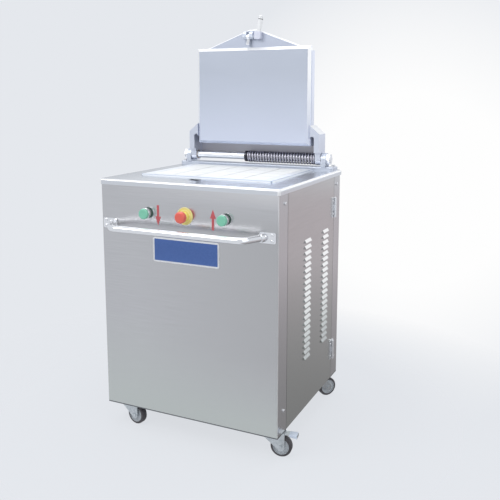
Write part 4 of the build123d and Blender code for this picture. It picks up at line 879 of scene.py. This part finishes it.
PAD_START, PAD_END = 72 * MM, 99.8 * MM
PAD_LOW, PAD_HIGH = 73.2 * MM, 85.3 * MM
PAD_HALF_WIDTH = 14.5 * MM
PAD_RISE = 4 * MM
PAD_EDGE = 1.5 * MM
PAD_RECESS, PAD_RECESS_RIM = 0.5 * MM, 1.5 * MM


def pedal_pads():
    """A moulded sleeve on the tip of each brake pedal: thinner towards the fork, with recessed sides."""
    pad = start(bpy.ops.mesh.primitive_cube_add, size=1)
    bpy.ops.transform.resize(value=(PAD_END - PAD_START, 2 * PAD_HALF_WIDTH, PAD_HIGH - PAD_LOW))
    apply_place()
    pick_edges(pad, lambda one, other: max(one.x, other.x, one.z, other.z) < 0)
    bpy.ops.transform.translate(value=(0, 0, PAD_RISE))
    bpy.ops.mesh.select_all(action="SELECT")
    bpy.ops.mesh.bevel(offset=PAD_EDGE, segments=3, affect="EDGES")
    pick_faces(pad, lambda face: abs(face.normal.y) > FACING_CLOSELY)
    bpy.ops.mesh.inset(thickness=PAD_RECESS_RIM, depth=-PAD_RECESS)
    bpy.ops.object.mode_set(mode="OBJECT")
    for castor in BRAKED_CASTORS:
        kingpin = Vector(JOINTS[f"fork_{castor}"]["pos_m"])
        way = Vector(JOINTS[f"brake_{castor}"]["pos_m"]) - kingpin
        way.z = 0
        middle = kingpin + way.normalized() * (PAD_START + PAD_END) / 2
        middle.z = (PAD_LOW + PAD_HIGH) / 2
        piece = copy_of(pad, middle, (0, 0, atan2(way.y, way.x)))
        done(piece, f"pedal_pad_{castor}", f"brake_{castor}", "block_plastic", pedal_plastic)
    bpy.data.objects.remove(pad)


SPRING_WIRE = 6.5 * MM
SPRING_RADIUS = 20.4 * MM
SPRING_START, SPRING_END = -27.6 * MM, 259.4 * MM
SPRING_PITCH = 11.6 * MM
SPRING_CLOSED_PITCH = 6.7 * MM
SPRING_TURNS = 25
SPRING_CLOSED_TURNS = 0.75
SPRING_STEPS = 24
SPRING_AXIS_Y, SPRING_AXIS_Z = 252 * MM, 964.5 * MM
SPRING_WELD = 0.01 * MM


def lid_spring():
    """The wound counterbalance spring: its end turns lie closed, the turns between them stand open."""
    bpy.ops.object.select_all(action="DESELECT")
    bpy.ops.curve.primitive_nurbs_path_add()
    piece = bpy.context.object
    coil = piece.data.splines[0]
    count = SPRING_TURNS * SPRING_STEPS + 1
    coil.points.add(count - len(coil.points))
    coil.order_u = 4
    coil.use_endpoint_u = True
    places = [0.0]
    for step in range(1, count):
        turn = step / SPRING_STEPS
        open_share = min(1, max(0, min(turn, SPRING_TURNS - turn) - SPRING_CLOSED_TURNS))
        pitch = SPRING_CLOSED_PITCH + (SPRING_PITCH - SPRING_CLOSED_PITCH) * open_share
        places.append(places[-1] + pitch / SPRING_STEPS)
    stretch = (SPRING_END - SPRING_START) / places[-1]
    for step, (point, place) in enumerate(zip(coil.points, places)):
        angle = 2 * pi * step / SPRING_STEPS
        y = SPRING_AXIS_Y + SPRING_RADIUS * cos(angle)
        z = SPRING_AXIS_Z + SPRING_RADIUS * sin(angle)
        point.co = (SPRING_START + place * stretch, y, z, 1)
    piece.data.resolution_u = 2
    piece.data.bevel_depth = SPRING_WIRE / 2
    piece.data.bevel_resolution = 4
    piece.data.use_fill_caps = True
    bpy.ops.object.convert(target="MESH")
    piece = bpy.context.object
    bpy.ops.object.mode_set(mode="EDIT")
    bpy.ops.mesh.select_all(action="SELECT")
    bpy.ops.mesh.remove_doubles(threshold=SPRING_WELD)
    bpy.ops.mesh.normals_make_consistent(inside=False)
    done(piece, "counterbalance_spring", "cabinet", "spring_steel", spring_wire)
    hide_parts("lid_spring")


# Screws: radius and height of a head, and its details as shares of the radius
PANEL_SCREW = (5.5 * MM, 3.2 * MM)
LEAF_SCREW = (3.5 * MM, 1.6 * MM)
DOME_STEPS, DOME_RISE = (0.10, 0.16), 0.10
RECESS_ARM, RECESS_REACH, RECESS_DEPTH = 0.12, 0.5, 0.3


def screw_head(radius, height):
    """One screw head at the origin, facing the front: a domed disc with a cross recess."""
    piece = start(
        bpy.ops.mesh.primitive_cylinder_add,
        vertices=32,
        radius=radius,
        depth=height,
        location=(0, -height / 2, 0),
        rotation=(pi / 2, 0, 0),
    )
    apply_place()
    pick_faces(piece, faces_front)
    for step in DOME_STEPS:
        bpy.ops.mesh.inset(thickness=radius * step, depth=radius * DOME_RISE)
    arm, reach = radius * RECESS_ARM, radius * RECESS_REACH
    for axis in ((1, 0, 0), (0, 0, 1)):
        for place in (-reach, -arm, arm, reach):
            pick_faces(piece, faces_front)
            bpy.ops.mesh.bisect(plane_co=[place * part for part in axis], plane_no=axis)
    pick_faces(
        piece,
        lambda face: faces_front(face)
        and min(abs(face.center.x), abs(face.center.z)) < arm
        and max(abs(face.center.x), abs(face.center.z)) < reach,
    )
    bpy.ops.mesh.extrude_region_move(TRANSFORM_OT_translate={"value": (0, radius * RECESS_DEPTH, 0)})
    bpy.ops.object.mode_set(mode="OBJECT")
    return piece


def screw_set(name, body, size, places):
    """Copies of one screw head, joined into a piece: each place is a point and the turn about the upright."""
    model = screw_head(*size)
    copies = [copy_of(model, place, (0, 0, turn)) for place, turn in places]
    bpy.data.objects.remove(model)
    for copy in copies:
        copy.select_set(True)
    bpy.ops.object.join()
    return done(bpy.context.object, name, body, "bright_steel", bright_steel)


SIDE_X = 340 * MM
SIDE_SCREWS = [(y * MM, z * MM) for y in (-262, 268) for z in (869, 166)]
FOOT_SCREW_X, FOOT_SCREW_STEP = 320 * MM, 10.25 * MM
HINGE_AXIS_Y = 239.5 * MM
HINGE_HEIGHTS = (781 * MM, 206 * MM)
LEAF_FACE_X = 342 * MM
LEAF_SCREW_OUT, LEAF_SCREW_UP = 13 * MM, 25 * MM


def leaf_places(side, toward):
    """Places of the screws in one side's hinge leaves, either toward the rear (1) or the front (-1)."""
    y = HINGE_AXIS_Y + toward * LEAF_SCREW_OUT
    return [
        ((side * LEAF_FACE_X, y, height + up * LEAF_SCREW_UP), side * pi / 2)
        for height in HINGE_HEIGHTS
        for up in (-1, 1)
    ]


def screws():
    """The screws of the panels, of the handle's feet and of the door hinges."""
    foot_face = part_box("handle_feet")[0].y
    places = []
    for side in (-1, 1):
        places += [((side * SIDE_X, y, z), side * pi / 2) for y, z in SIDE_SCREWS]
        for up in (-1, 1):
            places.append(((side * FOOT_SCREW_X, foot_face, FOOT_Z + up * FOOT_SCREW_STEP), 0))
    piece = screw_set("panel_screw_heads", "cabinet", PANEL_SCREW, places)
    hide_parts("panel_screws")
    screw_set("frame_leaf_screws", "cabinet", LEAF_SCREW, leaf_places(-1, 1) + leaf_places(1, 1))
    screw_set("right_leaf_screws", "right_door", LEAF_SCREW, leaf_places(1, -1))
    screw_set("left_leaf_screws", "left_door", LEAF_SCREW, leaf_places(-1, -1))


name_plate()
arrow("arrow_up", ARROW_X, True)
arrow("arrow_down", -ARROW_X, False)
control_trim()
handle_sockets()
grip_band()
wheel_hubs()
pedal_pads()
lid_spring()
screws()

# Stage: a pale floor that fades into the surround
FLOOR_SOLID, FLOOR_GONE = 0.7, 1.4
FLOOR_SHADOW_SHARE = 0.14
FLOOR_ROUGH = 0.8
SURROUND_PALE = paint(229, 232, 237)
SURROUND_BRIGHT = paint(254, 254, 254)
# Strength of the surround where it only gives light, as against where it is seen or mirrored
SURROUND_LIGHT, SURROUND_SEEN = 0.55, 1.0


def seen_directly(tree):
    """A factor that is 1 for what the camera sees, plainly, in a mirror or through glass."""
    path = tree.nodes.new("ShaderNodeLightPath").outputs
    return combine(tree, "MAXIMUM", path["Is Camera Ray"], path["Is Glossy Ray"], path["Is Transmission Ray"])


def floor():
    """A matt disc that keeps a light shadow: part of its pale tone shines by itself."""
    bpy.ops.object.select_all(action="DESELECT")
    bpy.ops.mesh.primitive_circle_add(vertices=96, radius=FLOOR_GONE, fill_type="NGON")
    piece = bpy.context.object
    piece.name = "floor"
    material, tree, link, shader = new_material("floor")
    shader.inputs["Base Color"].default_value = SURROUND_PALE
    shader.inputs["Roughness"].default_value = FLOOR_ROUGH
    shader.inputs["Specular IOR Level"].default_value = 0.0
    glow = tree.nodes.new("ShaderNodeEmission")
    glow.inputs["Color"].default_value = SURROUND_PALE
    share = spread(tree, seen_directly(tree), 0, 1 - FLOOR_SHADOW_SHARE, 0, 1)
    lit = tree.nodes.new("ShaderNodeMixShader")
    link(share, lit.inputs[0])
    link(shader.outputs["BSDF"], lit.inputs[1])
    link(glow.outputs["Emission"], lit.inputs[2])
    clear = tree.nodes.new("ShaderNodeBsdfTransparent")
    faded = tree.nodes.new("ShaderNodeMixShader")
    link(spread(tree, distance_from(tree), 0, 1, FLOOR_SOLID, FLOOR_GONE), faded.inputs[0])
    link(lit.outputs["Shader"], faded.inputs[1])
    link(clear.outputs["BSDF"], faded.inputs[2])
    link(faded.outputs["Shader"], tree.nodes["Material Output"].inputs["Surface"])
    piece.data.materials.append(material)


# Way from the camera to the surround's brightest place, and the cosines where its glow starts and is full
GLOW_WAY = (-0.1995, 0.9702, -0.1366)
GLOW_EDGE, GLOW_FULL = 0.9466, 0.9902


def world():
    """A pale surround with a bright place behind the object, on its right."""
    made = bpy.data.worlds.new("studio")
    made.use_nodes = True
    bpy.context.scene.world = made
    tree = made.node_tree
    link = tree.links.new
    background = tree.nodes["Background"]
    way = tree.nodes.new("ShaderNodeTexCoord")
    near = tree.nodes.new("ShaderNodeVectorMath")
    near.operation = "DOT_PRODUCT"
    near.inputs[1].default_value = GLOW_WAY
    link(way.outputs["Generated"], near.inputs[0])
    glow = spread(tree, near.outputs["Value"], 0, 1, GLOW_EDGE, GLOW_FULL)
    link(between(tree, glow, SURROUND_PALE, SURROUND_BRIGHT), background.inputs["Color"])
    strength = spread(tree, seen_directly(tree), SURROUND_LIGHT, SURROUND_SEEN, 0, 1)
    link(strength, background.inputs["Strength"])


CARD_SIZE = (4.0, 7.0, 1)
CARD_PLACE = (2.345, 2.6, 0.004)
CARD_NEAR, CARD_FAR = 0.4, 2.6
CARD_NEAR_TONE, CARD_FAR_TONE = paint(154, 153, 154), paint(214, 208, 212)


def grey_card():
    """A card beside the object on the floor that only the metal mirrors, darker where it is near."""
    bpy.ops.object.select_all(action="DESELECT")
    bpy.ops.mesh.primitive_plane_add(size=1)
    piece = bpy.context.object
    piece.name = "grey_card"
    piece.scale = CARD_SIZE
    piece.location = CARD_PLACE
    bpy.ops.object.transform_apply(location=True, rotation=True, scale=True)
    material, tree, link, _ = new_material("grey_card")
    far = spread(tree, distance_from(tree), 0, 1, CARD_NEAR, CARD_FAR)
    glow = tree.nodes.new("ShaderNodeEmission")
    link(between(tree, far, CARD_NEAR_TONE, CARD_FAR_TONE), glow.inputs["Color"])
    link(glow.outputs["Emission"], tree.nodes["Material Output"].inputs["Surface"])
    piece.data.materials.append(material)
    piece.visible_camera = False
    piece.visible_diffuse = False
    piece.visible_shadow = False


# Lamps: place, target, size and power
LAMPS = {
    "key": ((-1.6, -2.6, 3.4), (0, 0, 0.7), 2.2, 58),
    "fill": ((2.6, -1.8, 2.2), (0, 0, 0.7), 2.5, 20),
    "top": ((0, 0.2, 4.0), (0, 0, 0.9), 2.5, 47),
    "rim": ((2.0, 3.4, 2.0), (0.2, 0, 0.7), 2.4, 14),
}


def lamp(name, place, target, size, power):
    """A square lamp at a place that faces a target."""
    data = bpy.data.lights.new(name, "AREA")
    data.size = size
    data.energy = power
    made = bpy.data.objects.new(name, data)
    made.location = place
    made.rotation_euler = (Vector(target) - Vector(place)).to_track_quat("-Z", "Y").to_euler()
    bpy.context.scene.collection.objects.link(made)


floor()
world()
grey_card()
for name, setup in LAMPS.items():
    lamp(name, *setup)
